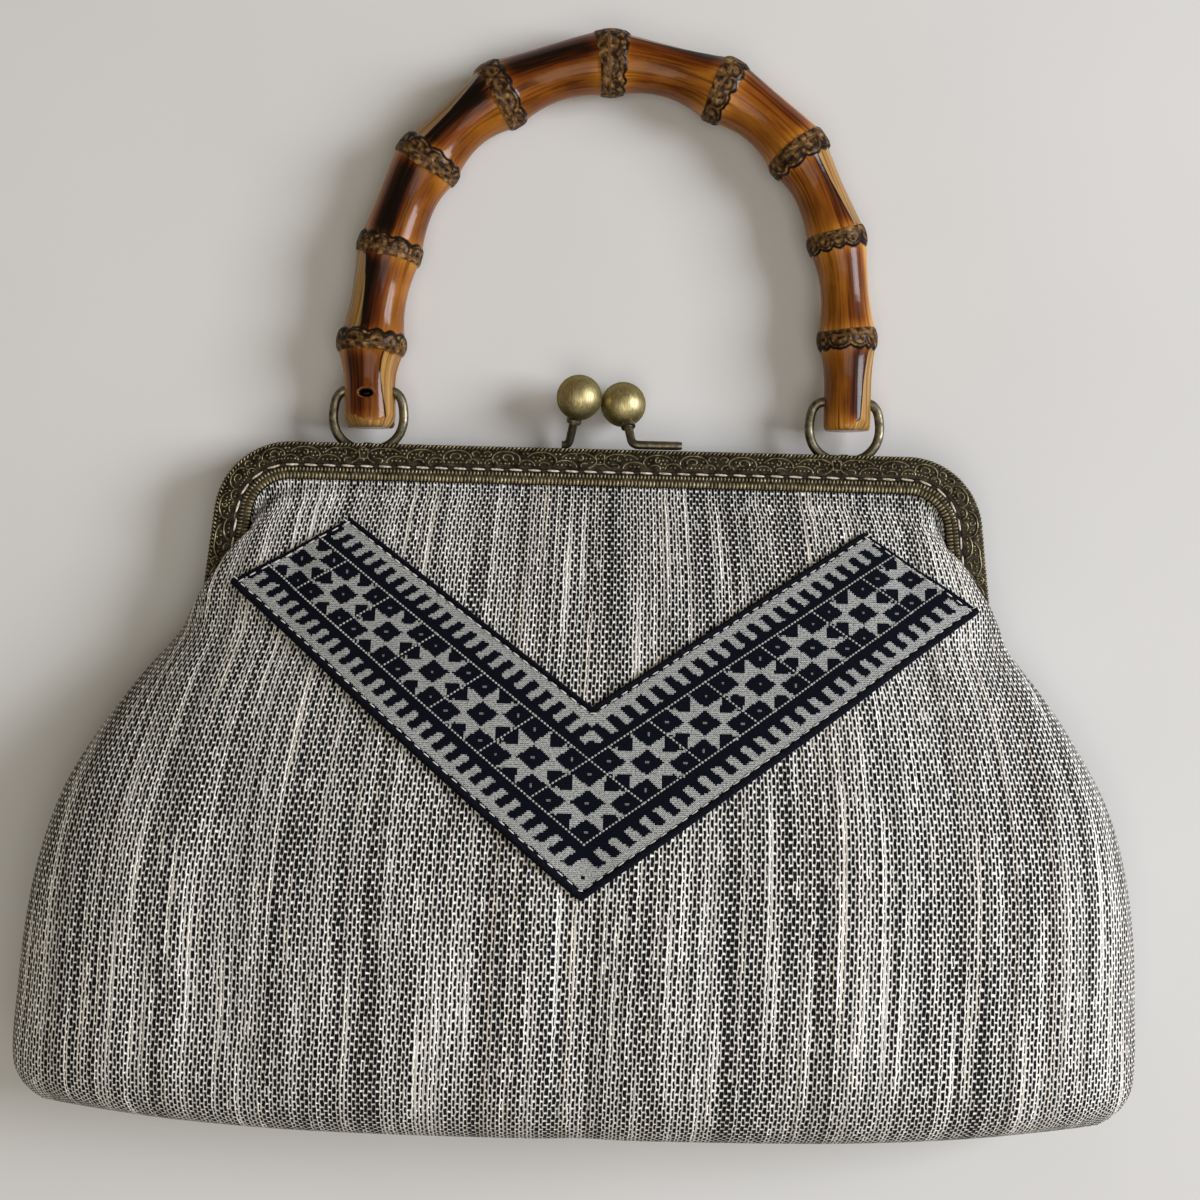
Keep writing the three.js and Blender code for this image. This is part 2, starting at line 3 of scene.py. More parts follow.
import bpy
import numpy as np
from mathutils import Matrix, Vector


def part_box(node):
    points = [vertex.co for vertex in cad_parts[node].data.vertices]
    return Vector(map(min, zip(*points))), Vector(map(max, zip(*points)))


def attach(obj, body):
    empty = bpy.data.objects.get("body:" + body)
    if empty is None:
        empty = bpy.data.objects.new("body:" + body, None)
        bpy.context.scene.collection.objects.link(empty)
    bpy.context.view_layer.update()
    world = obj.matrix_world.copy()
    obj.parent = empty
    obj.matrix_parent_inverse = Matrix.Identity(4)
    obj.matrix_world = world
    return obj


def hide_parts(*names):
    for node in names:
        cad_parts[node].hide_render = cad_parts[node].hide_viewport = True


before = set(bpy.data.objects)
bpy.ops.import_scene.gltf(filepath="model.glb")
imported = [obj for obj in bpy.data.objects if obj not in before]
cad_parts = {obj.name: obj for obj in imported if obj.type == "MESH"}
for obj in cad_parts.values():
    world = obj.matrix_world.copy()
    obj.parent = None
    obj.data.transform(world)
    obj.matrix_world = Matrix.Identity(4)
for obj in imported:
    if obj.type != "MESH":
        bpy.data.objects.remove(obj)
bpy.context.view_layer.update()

# The table and the view. The bag lies flat on a pale painted board and is seen from straight above,
# by a camera that is turned a little, in wide soft light from the upper right.
MM = 0.001
CAMERA_SPOT = (3.84, -6.15, 560.0)
CAMERA_TURN = math.radians(1.45)
CAMERA_LENS = 62.28
CAMERA_SENSOR = 36.0
TABLE_HALF = 3000.0
TABLE_Z = -0.05
# Soft lights: name, spot, size (mm), power (W), colour.
LIGHTS = [
    ("window", (1750.0, 250.0, 1150.0), 950.0, 56.0, "#f3f5fb"),
    ("ceiling", (100.0, -500.0, 1500.0), 1200.0, 11.5, "#f8f6f0"),
]
ROOM_COLOUR = "#f4dfba"
ROOM_GLOW = 0.25
GLOSS_SPAN = (0.3, 0.7)


def linear(code):
    """An sRGB hex colour as linear red, green, blue and alpha."""
    parts = [int(code[i:i + 2], 16) / 255 for i in (1, 3, 5)]
    return tuple(c / 12.92 if c <= 0.04045 else ((c + 0.055) / 1.055) ** 2.4 for c in parts) + (1.0,)


def add(tree, kind, sockets=(), stops=(), **settings):
    """One node, as Kind or Kind.OPERATION, with its settings, its sockets and a ramp's stops.

    Sockets go by name in a dict or by order in a list, and each is a value, a node or one of its outputs.
    """
    kind, _, operation = kind.partition(".")
    made = tree.nodes.new(kind if "Node" in kind else "ShaderNode" + kind)
    if operation:
        made.operation = operation
    for name, value in settings.items():
        setattr(made, name, value)
    for key, value in sockets.items() if isinstance(sockets, dict) else enumerate(sockets):
        value = value.outputs[0] if isinstance(value, bpy.types.Node) else value
        if isinstance(value, bpy.types.NodeSocket):
            tree.links.new(value, made.inputs[key])
        else:
            made.inputs[key].default_value = value
    if stops:
        spots = made.color_ramp.elements
        while len(spots) < len(stops):
            spots.new(1.0)
        for spot, (place, code) in zip(spots, stops):
            spot.position = place
            spot.color = linear(code)
    return made


def material_tree(name):
    """A new material with a cleared node tree."""
    made = bpy.data.materials.new(name)
    made.use_nodes = True
    made.node_tree.nodes.clear()
    return made, made.node_tree


def mottled(name, grain, detail, stops, shading, bump=None, gloss=None):
    """A material whose colour comes from one noise with grains of a size in millimetres.

    bump is the strength and depth (mm) of its relief, and gloss its roughness where it is dark and pale.
    """
    made, tree = material_tree(name)
    spots = add(tree, "TexCoord")
    noise = add(tree, "TexNoise", {
        "Vector": spots.outputs["Object"], "Scale": 1 / (grain * MM), "Detail": detail})
    shading = {"Base Color": add(tree, "ValToRGB", [noise], stops), **shading}
    if bump:
        strength, depth = bump
        shading["Normal"] = add(tree, "Bump", {
            "Height": noise, "Strength": strength, "Distance": depth * MM})
    if gloss:
        shading["Roughness"] = add(tree, "MapRange", (noise, *GLOSS_SPAN, *gloss))
    add(tree, "OutputMaterial", {"Surface": add(tree, "BsdfPrincipled", shading)})
    return made


def mesh_piece(name, points, faces, material):
    """A smooth-shaded mesh object from points in millimetres, at the origin."""
    mesh = bpy.data.meshes.new(name)
    mesh.from_pydata((np.asarray(points, dtype=float) * MM).tolist(), [], faces)
    mesh.materials.append(material)
    mesh.shade_smooth()
    piece = bpy.data.objects.new(name, mesh)
    bpy.context.scene.collection.objects.link(piece)
    return piece


scene = bpy.context.scene
scene.view_settings.view_transform = "Standard"
camera = bpy.data.objects.new("table_camera", bpy.data.cameras.new("table_camera"))
camera.data.lens = CAMERA_LENS
camera.data.sensor_width = CAMERA_SENSOR
camera.location = [c * MM for c in CAMERA_SPOT]
camera.rotation_euler = (0.0, 0.0, CAMERA_TURN)
scene.collection.objects.link(camera)
scene.camera = camera

for name, spot, size, power, colour in LIGHTS:
    lamp = bpy.data.lights.new(name, "AREA")
    lamp.size = size * MM
    lamp.energy = power
    lamp.color = linear(colour)[:3]
    holder = bpy.data.objects.new(name, lamp)
    holder.location = [c * MM for c in spot]
    aim = -holder.location
    holder.rotation_euler = aim.to_track_quat("-Z", "Y").to_euler()
    scene.collection.objects.link(holder)

world = bpy.data.worlds.new("room")
world.use_nodes = True
room = world.node_tree.nodes["Background"].inputs
room["Color"].default_value = linear(ROOM_COLOUR)
room["Strength"].default_value = ROOM_GLOW
scene.world = world

# Matt painted board: an even pale face with a very faint mottle, a hand's breadth across.
table_paint = mottled("matt_painted_board", 1000 / 6, 3.0, [(0.3, "#bfbfbf"), (0.7, "#c5c5c5")],
                      {"Roughness": 0.75})
corners = [(x * TABLE_HALF, y * TABLE_HALF, TABLE_Z) for x, y in ((-1, -1), (1, -1), (1, 1), (-1, 1))]
table = mesh_piece("table_top", corners, [(0, 1, 2, 3)], table_paint)


# The cloth body. Front and back are cut from slubby plain-woven linen and cotton, gathered into the
# frame and sewn together round the sides and base, so each is one wall that swells and sags.
FRAME_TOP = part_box("front_frame")[1][1] / MM
FRAME_MIDDLE = (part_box("front_frame")[0][0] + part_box("front_frame")[1][0]) / 2 / MM
CLOTH = 1.6
SEAM_GAP = 0.4
BODY_LEAN = 3.4
LEAN_FROM = 40.0
FOLD_FADE = 10.0
FLAT_ROWS = 5
SEWN_ROW = 7
FULLNESS = {"front": 2.4, "back": 5.0}
THREAD_FAN = 0.4
THREADS_APART = {"front": 0.0, "back": 500.0}
WALL_COLUMNS = 150
WALL_STEPS = 7
# Cross-sections down the body: drop at the middle and the sides, how squarely it bends between
# them, half width, height of the seam, crest of the front, seam and lowest point of the back.
MID, SIDE, BEND, HALF, EDGE, CREST, SEAT, LOW = range(8)
SECTIONS = np.array([
    (6.5, 19.5, 30, 94.0, 14.1, 14.1, 5.0, 5.0),
    (10.2, 21.5, 20, 91.0, 14.1, 14.3, 5.0, 4.8),
    (13.0, 24.0, 14, 91.0, 18.6, 16.4, 0.4, 2.2),
    (17.5, 27.5, 9, 95.0, 18.6, 19.4, 0.0, 0.0),
    (25.0, 33.0, 6, 98.8, 18.6, 24.6, 0.0, -2.0),
    (34.0, 39.5, 4, 103.2, 17.6, 30.2, 0.4, -2.0),
    (43.5, 44.5, 4, 106.2, 13.0, 35.2, 4.5, -2.0),
    (52.0, 51.0, 4, 109.6, 10.5, 39.4, 10.1, -2.0),
    (64.0, 63.0, 4, 118.9, 13.5, 45.0, 13.1, -2.0),
    (78.0, 76.0, 4, 127.3, 17.5, 49.8, 17.1, -2.0),
    (94.0, 91.0, 4, 135.0, 21.0, 53.6, 20.6, -2.0),
    (112.0, 108.0, 4, 139.8, 23.5, 56.0, 23.1, -2.0),
    (130.0, 125.0, 4, 142.3, 24.5, 57.0, 24.1, -2.0),
    (147.0, 141.0, 4, 143.3, 25.0, 56.0, 24.6, -2.0),
    (160.0, 153.0, 4, 144.0, 25.0, 53.4, 24.6, -2.0),
    (169.0, 161.0, 4, 143.8, 25.0, 48.0, 24.6, 0.5),
    (174.5, 166.0, 4, 142.0, 25.0, 40.0, 24.6, 6.0),
    (177.0, 169.5, 4, 139.0, 25.0, 31.0, 24.6, 14.0),
    (177.8, 171.5, 4, 136.0, 25.0, 25.0, 24.6, 24.6),
])
LAST_ROW = len(SECTIONS) - 1
# Dents and soft folds of the front: place across, drop, reach across, reach along, depth. A depth
# below 0 is a ridge.
FOLDS = [
    (-0.7, 145, 7, 38, 3.3), (-91, 146, 10, 20, 1.8), (-112, 76, 9, 15, 2.0), (111, 78, 9, 16, 2.0),
    (-78, 30, 5, 13, 1.5), (80, 31, 5, 13, 1.5), (-89, 98, 8, 22, 1.6), (-40, 138, 7, 22, -1.4),
    (34, 126, 7, 20, 1.3), (63, 150, 9, 20, -1.2),
]


def eased(share):
    """A share from 0 to 1 that starts and stops gently."""
    return share * share * (3 - 2 * share)


def unit(vectors):
    """Vectors brought to length 1."""
    return vectors / np.maximum(1e-9, np.linalg.norm(vectors, axis=-1, keepdims=True))


def section(column, row):
    """One column of SECTIONS at a place between its rows."""
    base = np.minimum(np.floor(row).astype(int), LAST_ROW - 1)
    before, here, after, beyond = (SECTIONS[np.clip(base + k, 0, LAST_ROW), column] for k in (-1, 0, 1, 2))
    share = row - base
    leave = np.where((after == here) | (here == before), 0.0, (after - before) / 2)
    arrive = np.where((after == here) | (beyond == after), 0.0, (beyond - here) / 2)
    bend = share * (1 - share) * ((1 - share) * leave - share * arrive)
    return here + (after - here) * eased(share) + bend


def lean(drop):
    """Sideways lean of the body below the frame."""
    return -BODY_LEAN * np.maximum(0.0, (drop - LEAN_FROM) / (SECTIONS[-1, MID] - LEAN_FROM))


def dropped(row, share):
    """Drop of a place in a cross-section. share runs from -1 to 1 across it."""
    mid = section(MID, row)
    return mid + (section(SIDE, row) - mid) * np.abs(share) ** section(BEND, row)


def cloth_point(side, row, turn):
    """Outer face of the cloth as across, drop and height. turn runs from -1 to 1 between the seams."""
    angle = turn * math.pi / 2
    share = np.sign(turn) * np.abs(np.sin(angle)) ** (2 / FULLNESS[side])
    rise = np.abs(np.cos(angle)) ** (2 / FULLNESS[side])
    drop = dropped(row, share)
    across = lean(drop) + share * section(HALF, row)
    top = section(EDGE, row)
    if side == "back":
        edge = np.minimum(section(SEAT, row), top - SEAM_GAP)
        middle = np.minimum(section(LOW, row), edge)
        return across, drop, np.maximum(0.0, edge + (middle - edge) * rise)
    middle = section(CREST, row)
    slack = rise * np.minimum(1.0, np.abs(middle - top) / FOLD_FADE)
    sunk = sum(d * np.exp(-((across - x) / a) ** 2 - ((drop - y) / b) ** 2) for x, y, a, b, d in FOLDS)
    return across, drop, np.maximum(0.0, top + (middle - top) * rise - sunk * slack)


def to_part(across, drop, height):
    """Points from bag measures, across and below the frame's top edge, to the part's frame."""
    return np.stack([across + FRAME_MIDDLE, FRAME_TOP - drop, height], axis=-1)


def grid_quads(spot):
    """Faces between the neighbours in a grid of point numbers."""
    return np.stack([spot[:-1, :-1], spot[1:, :-1], spot[1:, 1:], spot[:-1, 1:]], axis=-1)


def run_along(steps, axis=0):
    """Distances from the start of a line, from the lengths of its steps."""
    return np.insert(np.cumsum(steps, axis=axis), 0, 0.0, axis=axis)


def mark(piece, name, kind, values, domain="POINT"):
    """An attribute of numbers or vectors on a mesh, for its material to read."""
    layer = piece.data.attributes.new(name, kind, domain)
    key = "vector" if kind == "FLOAT_VECTOR" else "value"
    layer.data.foreach_set(key, np.asarray(values, dtype=np.float32).ravel())


def cloth_wall(name, side, material):
    """One cloth panel as a closed wall, with the run of its threads as an attribute, and its outer area."""
    row, turn = np.meshgrid(np.linspace(0, LAST_ROW, LAST_ROW * WALL_STEPS + 1),
                            np.linspace(-1, 1, WALL_COLUMNS + 1), indexing="ij")
    across, drop, height = cloth_point(side, row, turn)
    outer = to_part(across, drop, height)
    square = unit(np.cross(np.gradient(outer, axis=0), np.gradient(outer, axis=1)))
    ease = eased(np.clip((row - FLAT_ROWS) / (SEWN_ROW - FLAT_ROWS), 0, 1)[..., None])
    normal = unit(np.array([0, 0, 1.0]) * (1 - ease) + square * np.sign(square[..., 2:]) * ease)
    is_front = side == "front"
    inner = outer - (CLOTH if is_front else -CLOTH) * normal
    seam, level = section(EDGE, row), inner[..., 2]
    held = np.maximum(level, seam) if is_front else np.minimum(level, seam - SEAM_GAP)
    inner[..., 2] = np.where(row >= SEWN_ROW, held, level)
    spot = np.arange(row.size).reshape(row.shape)
    quads = grid_quads(spot).reshape(-1, 4)
    rim = np.concatenate([spot[0, :-1], spot[:-1, -1], spot[-1, :0:-1], spot[:0:-1, 0]])
    nxt = np.roll(rim, -1)
    edge = np.stack([rim, nxt, nxt + row.size, rim + row.size], axis=-1)
    faces = np.concatenate([quads, quads[:, ::-1] + row.size, edge])
    faces = faces if is_front else faces[:, ::-1]
    points = np.concatenate([outer.reshape(-1, 3), inner.reshape(-1, 3)])
    piece = mesh_piece(name, points, faces.tolist(), material)
    _, middle_drop, middle_z = cloth_point(side, row[:, 0], np.zeros(len(row)))
    run = run_along(np.hypot(np.diff(middle_drop), np.diff(middle_z)))
    girth = run_along(np.linalg.norm(np.diff(outer, axis=1), axis=-1), axis=1)
    girth = girth - girth[:, [WALL_COLUMNS // 2]]
    warp = girth / (section(HALF, row) / 100) ** THREAD_FAN
    weft = run[:, None] + drop - section(MID, row)
    threads = np.stack([warp, weft, np.full_like(warp, THREADS_APART[side])], axis=-1)
    mark(piece, "threads", "FLOAT_VECTOR", np.concatenate([threads, threads]))
    return piece, sum(face.area for face in piece.data.polygons[:len(quads)])


# Slub linen, plain woven: pale uneven warp with navy yarn that shows as short upright dashes in
# every other row, so the eye sees broken pinstripes with long pale streaks.
COLUMN = 0.85
REPEAT = 2.72
DASH_HALF_WIDTH = 0.418
DASH_HALF_LENGTH = 0.405
DASH_ROUND = 0.35
SWAY = (0.7, 1.2, 0.0)
SWAY_SIZE = 20 / 9
STREAK_LENGTH = 1000 / 11
STRIPE_WIDTH = 200 / 17
COLUMN_APART = 7.31
WEAVE_DEPTH = 0.12
ROW_RIDGE = 0.5
DASH_SUNK = -0.8
# What a noise or a place in the repeat does to a share: its own range, then the share at both ends.
THICK_SLUB = (0.6, 0.7, 1.0, 0.3)
FULLER_STRIPE = (0.35, 0.65, 1.1, 0.9)
MISSED_PICK = (0.95, 0.98, 1.0, 0.6)
OWN_YARN = (0.36, 0.64, 0.64, 1.14)
DASH_EDGE = (0.88, 1.12, 1.0, 0.0)
LIT_SLUB = (0.4, 0.66, 0.9, 1.2)
KNOP = (0.0, 1.0, 0.8, 1.14)
# Painted highlight on the crown of each pale bead between dashes, and painted shade at its sides towards the
# next column.
BEAD_PAINTED_HIGHLIGHT = (0.3, 0.5, 0.9, 1.1)
BEAD_PAINTED_SHADE = (0.24, 0.5, 1.0, 0.74)
linen, tree = material_tree("slub_linen_plain_weave")
threads = add(tree, "Attribute", attribute_name="threads").outputs["Vector"]
wander = add(tree, "TexNoise", {"Vector": threads, "Scale": 1 / SWAY_SIZE, "Detail": 2.0})
centred = add(tree, "VectorMath.SUBTRACT", (wander.outputs["Color"], (0.5, 0.5, 0.5)))
swayed = add(tree, "VectorMath.MULTIPLY_ADD", (centred, SWAY, threads))
lay = add(tree, "SeparateXYZ", [swayed]).outputs
columns = add(tree, "Math.MULTIPLY", (lay["X"], 1 / COLUMN))
column = add(tree, "Math.FLOOR", [columns])
odd = add(tree, "Math.FLOORED_MODULO", (column, 2.0))
shift = add(tree, "Math.MULTIPLY", (odd, 0.5))
rows = add(tree, "Math.MULTIPLY_ADD", (lay["Y"], 1 / REPEAT, shift))
row = add(tree, "Math.FLOOR", [rows])
cell = add(tree, "CombineXYZ", (column, row))
yarn = add(tree, "TexWhiteNoise", {"W": column}, noise_dimensions="1D")
pick = add(tree, "TexWhiteNoise", {"Vector": cell}, noise_dimensions="2D")
slow = add(tree, "Math.MULTIPLY", (lay["Y"], 1 / STREAK_LENGTH))
noises = []
for place, scale, detail in ((column, COLUMN_APART, 1.5), (lay["X"], 1 / STRIPE_WIDTH, 1.0)):
    across = add(tree, "Math.MULTIPLY", (place, scale))
    spot = add(tree, "CombineXYZ", (across, slow, lay["Z"]))
    noises.append(add(tree, "TexNoise", {"Vector": spot, "Scale": 1.0, "Detail": detail}))
streak, stripe = noises
own, knop = (add(tree, "SeparateColor", [noise.outputs["Color"]]).outputs["Green"]
             for noise in (streak, pick))
offs, waves = [], []
for count in (columns, rows):
    off = add(tree, "Math.FRACT", [count])
    off = add(tree, "Math.SUBTRACT", (off, 0.5))
    offs.append(add(tree, "Math.ABSOLUTE", [off]))
    turn = add(tree, "Math.MULTIPLY", (count, 2 * math.pi))
    waves.append(add(tree, "Math.COSINE", [turn]))
# Where the pale slub is thick the navy dash narrows or goes under.
width = DASH_HALF_WIDTH
for value, answer in ((streak, THICK_SLUB), (stripe, FULLER_STRIPE), (pick, MISSED_PICK), (own, OWN_YARN)):
    share = add(tree, "MapRange", (value, *answer))
    width = add(tree, "Math.MULTIPLY", (width, share))
near_x = add(tree, "Math.DIVIDE", (offs[0], width))
near_y = add(tree, "Math.DIVIDE", (offs[1], DASH_HALF_LENGTH))
near = add(tree, "Math.SMOOTH_MAX", (near_x, near_y, DASH_ROUND))
dash = add(tree, "MapRange", (near, *DASH_EDGE))
pale = add(tree, "ValToRGB", [yarn], [
    (0.0, "#c4beb2"), (0.1, "#d1cdc5"), (0.25, "#dad9d4"), (0.6, "#e0e0dc"), (0.82, "#f5f4f0"),
    (1.0, "#c8c7c2")])
# Pale yarn: brighter where the slub is thick, random per cell, then a painted highlight on each bead's crown
# and painted shade at its sides.
for value, answer in ((streak, LIT_SLUB), (knop, KNOP), (offs[1], BEAD_PAINTED_HIGHLIGHT), (offs[0], BEAD_PAINTED_SHADE)):
    share = add(tree, "MapRange", (value, *answer))
    pale = add(tree, "VectorMath.SCALE", {0: pale, "Scale": share})
dark = add(tree, "ValToRGB", [pick], [(0.0, "#040409"), (0.6, "#0a0b11"), (1.0, "#1b1b21")])
colour = add(tree, "Mix", {"Factor": dash, 6: pale, 7: dark}, data_type="RGBA")
ridge = add(tree, "Math.MULTIPLY_ADD", (waves[1], ROW_RIDGE, waves[0]))
relief = add(tree, "Math.MULTIPLY_ADD", (dash, DASH_SUNK, ridge))
bump = add(tree, "Bump", {"Height": relief, "Strength": 0.5, "Distance": WEAVE_DEPTH * MM})
shader = add(tree, "BsdfPrincipled", {
    "Base Color": colour.outputs[2], "Roughness": 0.9, "Specular IOR Level": 0.15, "Normal": bump})
add(tree, "OutputMaterial", {"Surface": shader})

for side, node in (("front", "front_panel"), ("back", "back_panel")):
    cloth, area = cloth_wall(side + "_cloth", side, linen)
    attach(cloth, "bag")
    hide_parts(node)


# The braid. A jacquard-knit border tape in navy and white with a traditional eight-point star, laid
# on the front in one mitred V, its edges rolled under in navy and sewn down with running stitches.
BRAID_LIFT = 1.35
BRAID_LEFT, BRAID_RIGHT, BRAID_POINT = range(3)
ARMS = (BRAID_LEFT, BRAID_RIGHT)
# Outer and inner corner of each end and of the mitre: across and drop.
BRAID_OUTER = np.array([(-93.8, 37.5), (98.3, 40.2), (-2.0, 112.7)])
BRAID_INNER = np.array([(-64.5, 20.9), (69.2, 21.4), (-0.3, 67.1)])
KNIT_WIDE = 0.52
KNIT_HIGH = 0.46
KNIT_DEPTH = 0.1
KNIT_FUZZ = 5 / 11
KNIT_SLANT = 0.9
WALE_SUNK = -0.6
# How strongly the loop relief is painted into the colour as shade.
LOOP_PAINTED_SHADE = 0.22
DYE_FUZZ = 0.3
DYE_EDGE = (0.55, 0.75)
# The star's square repeat is the unit: the tape runs from BAND_OUTER to BAND_INNER across, with the
# star field between 0 and 1. Each arm ends this many repeats from the mitre, and they crowd a little
# towards the end, where the cloth slopes to the frame.
BAND_OUTER = -0.663
BAND_INNER = 1.594
ARM_END = -5.74
ARM_CROWD = {BRAID_LEFT: 0.1, BRAID_RIGHT: 0.07}
PAST_MITRE = 1.05
STRIPE_TO = 0.15
TEETH_TO = 0.405
WHITE_TO = 0.535
TEETH = 4
TOOTH_SHARE = 0.55
LAST_TOOTH = 1.25
END_HEM = 0.007
POINT_DOT = (1.39, -0.39)
POINT_DOT_SIZE = 0.045
SQUARE_HALF = 0.157
SQUARE_INSET = 0.16
CORNER_SQUARE = 0.313
SQUARE_DOT = 0.02
SQUARE_DOT_NAVY = 0.48
HEART_EDGES = [(-0.83, -1.0, 0.195), (-1.09, 1.0, 0.24), (0.3, 1.0, 0.085)]
HEART_DOT = (0.135, 0.024)
HEART_DOT_SIZE = 0.03
TAPE_TURNED_TO = 0.2
TAPE_STEP = 1.5
HALVINGS = 36
CORRECTIONS = 12
SLOPE_REACH = 0.5
# Rolled edges: share of the way in from the edge, and radius.
ROLL_OUTER = (0.017, 1.05)
ROLL_INNER = (0.0, 0.68)
ROLL_SUNK = 0.35
ROLL_AROUND = 10
PELLET_BLUNT = 0.6
# Running stitches and the loops of the ruled lines: long, wide and high.
RUNNING_STITCH = (2.0, 0.38, 0.34)
RUNNING_PITCH = 3.1
RUNNING_RAISED = 0.4
SEWN_OUTER = 0.044
SEWN_INNER = 0.026
SEWN_END = 0.011
SEWN_END_SPAN = (0.06, 0.96)
LINE_BEAD = (0.72, 0.5, 0.4)
LINE_PITCH = 0.95
LINE_LIFT = 0.06
LINE_SPAN = (0.01, 1)


def front_height(across, drop):
    """Height of the front cloth over the table at places seen from above."""
    low = np.zeros_like(across)
    high = np.full_like(across, float(LAST_ROW))
    for _ in range(HALVINGS):
        row = (low + high) / 2
        share = np.clip((across - lean(drop)) / section(HALF, row), -1, 1)
        past = dropped(row, share) > drop
        high = np.where(past, row, high)
        low = np.where(past, low, row)
    turn = np.sign(share) * np.arcsin(np.abs(share) ** (FULLNESS["front"] / 2)) * 2 / math.pi
    return cloth_point("front", row, turn)[2]


def on_front(across, drop, lift):
    """Points that stand a little off the front cloth, in the part's frame."""
    slope_x = front_height(across + SLOPE_REACH, drop) - front_height(across - SLOPE_REACH, drop)
    slope_y = front_height(across, drop - SLOPE_REACH) - front_height(across, drop + SLOPE_REACH)
    normal = unit(np.stack([-slope_x, -slope_y, np.full_like(slope_x, 2 * SLOPE_REACH)], axis=-1))
    return to_part(across, drop, front_height(across, drop)) + lift * normal


def crossed(one, other):
    """How far two flat vectors turn from each other, as the area between them."""
    return one[..., 0] * other[..., 1] - one[..., 1] * other[..., 0]


def arm_spot(arm, along, over):
    """A place on one arm at shares along (0 end, 1 mitre) and over (0 outer, 1 inner), and its two ways."""
    along, over = np.asarray(along, float)[..., None], np.asarray(over, float)[..., None]
    end, point = BRAID_OUTER[arm], BRAID_OUTER[BRAID_POINT]
    end_in, point_in = BRAID_INNER[arm], BRAID_INNER[BRAID_POINT]
    run = (point - end) * (1 - over) + (point_in - end_in) * over
    rise = (end_in - end) * (1 - along) + (point_in - point) * along
    return end + (point - end) * along + rise * over, run, rise


def arm_place(arm, across, drop):
    """Shares along and over one arm of a place given by across and drop."""
    along, over = np.full(across.shape, 0.5), np.full(across.shape, 0.5)
    for _ in range(CORRECTIONS):
        spot, run, rise = arm_spot(arm, along, over)
        miss = np.stack([across, drop], axis=-1) - spot
        along = along + crossed(miss, rise) / crossed(run, rise)
        over = over + crossed(run, miss) / crossed(run, rise)
    return along, over


def star_tape(along, over):
    """Navy share of the tape at places in repeats along and across: 1 navy, 0 white."""
    rest = along - np.floor(along)
    edge = np.minimum(over, 1 - over)
    side = np.minimum(rest, 1 - rest)
    off_x, off_y = (np.minimum(np.abs(at - SQUARE_INSET), np.abs(at - 1 + SQUARE_INSET))
                    for at in (rest, over))
    middle = np.maximum(np.abs(rest - 0.5), np.abs(over - 0.5))
    navy = (middle < SQUARE_HALF) | (np.maximum(side, edge) < CORNER_SQUARE)
    square = np.minimum(np.maximum(off_x, off_y), middle)
    field = np.where(square < SQUARE_DOT, SQUARE_DOT_NAVY, np.where(navy, 1.0, 0.0))
    # Half hearts stand on the middle of each line and point away, with a loose dot at one foot.
    for off, by in ((over, rest - 0.5), (1 - over, 0.5 - rest), (rest, over - 0.5), (1 - rest, 0.5 - over)):
        heart = np.all([a * off + b * by + c > 0 for a, b, c in HEART_EDGES], axis=0)
        dot = np.hypot(by + HEART_DOT[0], off - HEART_DOT[1]) < HEART_DOT_SIZE
        field = np.where(heart | dot, 1.0, field)
    tooth = ((along * TEETH) % 1 < TOOTH_SHARE) & (along < LAST_TOOTH)
    tooth |= np.hypot(along - POINT_DOT[0], over - POINT_DOT[1]) < POINT_DOT_SIZE
    white = (edge <= -STRIPE_TO) & (edge > -WHITE_TO) & ~(tooth & (edge > -TEETH_TO))
    return np.where(edge > 0, field, np.where(white, 0.0, 1.0))


# Jacquard cotton knit: flat V loops in upright wales, matt grey white and a navy near to black.
braid_knit, tree = material_tree("jacquard_cotton_knit")
navy = add(tree, "Attribute", attribute_name="navy")
loops = add(tree, "Attribute", attribute_name="threads").outputs["Vector"]
lay = add(tree, "SeparateXYZ", [loops]).outputs
leg = add(tree, "Math.PINGPONG", (lay["X"], KNIT_WIDE / 2))
slope = add(tree, "Math.MULTIPLY_ADD", (leg, KNIT_SLANT, lay["Y"]))
loop = add(tree, "Math.MULTIPLY", (slope, 2 * math.pi / KNIT_HIGH))
loop = add(tree, "Math.SINE", [loop])
wale = add(tree, "Math.MULTIPLY", (lay["X"], 4 * math.pi / KNIT_WIDE))
wale = add(tree, "Math.COSINE", [wale])
height = add(tree, "Math.MULTIPLY_ADD", (wale, WALE_SUNK, loop))
fuzz = add(tree, "TexNoise", {"Vector": loops, "Scale": 1 / KNIT_FUZZ, "Detail": 2.0})
# The knit's colour follows the loop relief with a random fuzz: painted shade in the hollows between loops and
# wales, paler on their crowns.
painted_loop_shade = add(tree, "Math.MULTIPLY_ADD", (height, LOOP_PAINTED_SHADE, fuzz))
white = add(tree, "ValToRGB", [painted_loop_shade], [(0.24, "#36393d"), (0.5, "#898c8d"), (0.76, "#c2c3c1")])
blue = add(tree, "ValToRGB", [painted_loop_shade], [(0.28, "#010207"), (0.5, "#04060f"), (0.8, "#0e1222")])
edge = add(tree, "Math.MULTIPLY_ADD", (fuzz, DYE_FUZZ, navy.outputs["Fac"]))
dyed = add(tree, "MapRange", (edge, *DYE_EDGE))
colour = add(tree, "Mix", {"Factor": dyed, 6: white, 7: blue}, data_type="RGBA")
bump = add(tree, "Bump", {"Height": height, "Strength": 0.5, "Distance": KNIT_DEPTH * MM})
shader = add(tree, "BsdfPrincipled", {
    "Base Color": colour.outputs[2], "Roughness": 0.95, "Specular IOR Level": 0.1, "Normal": bump})
add(tree, "OutputMaterial", {"Surface": shader})

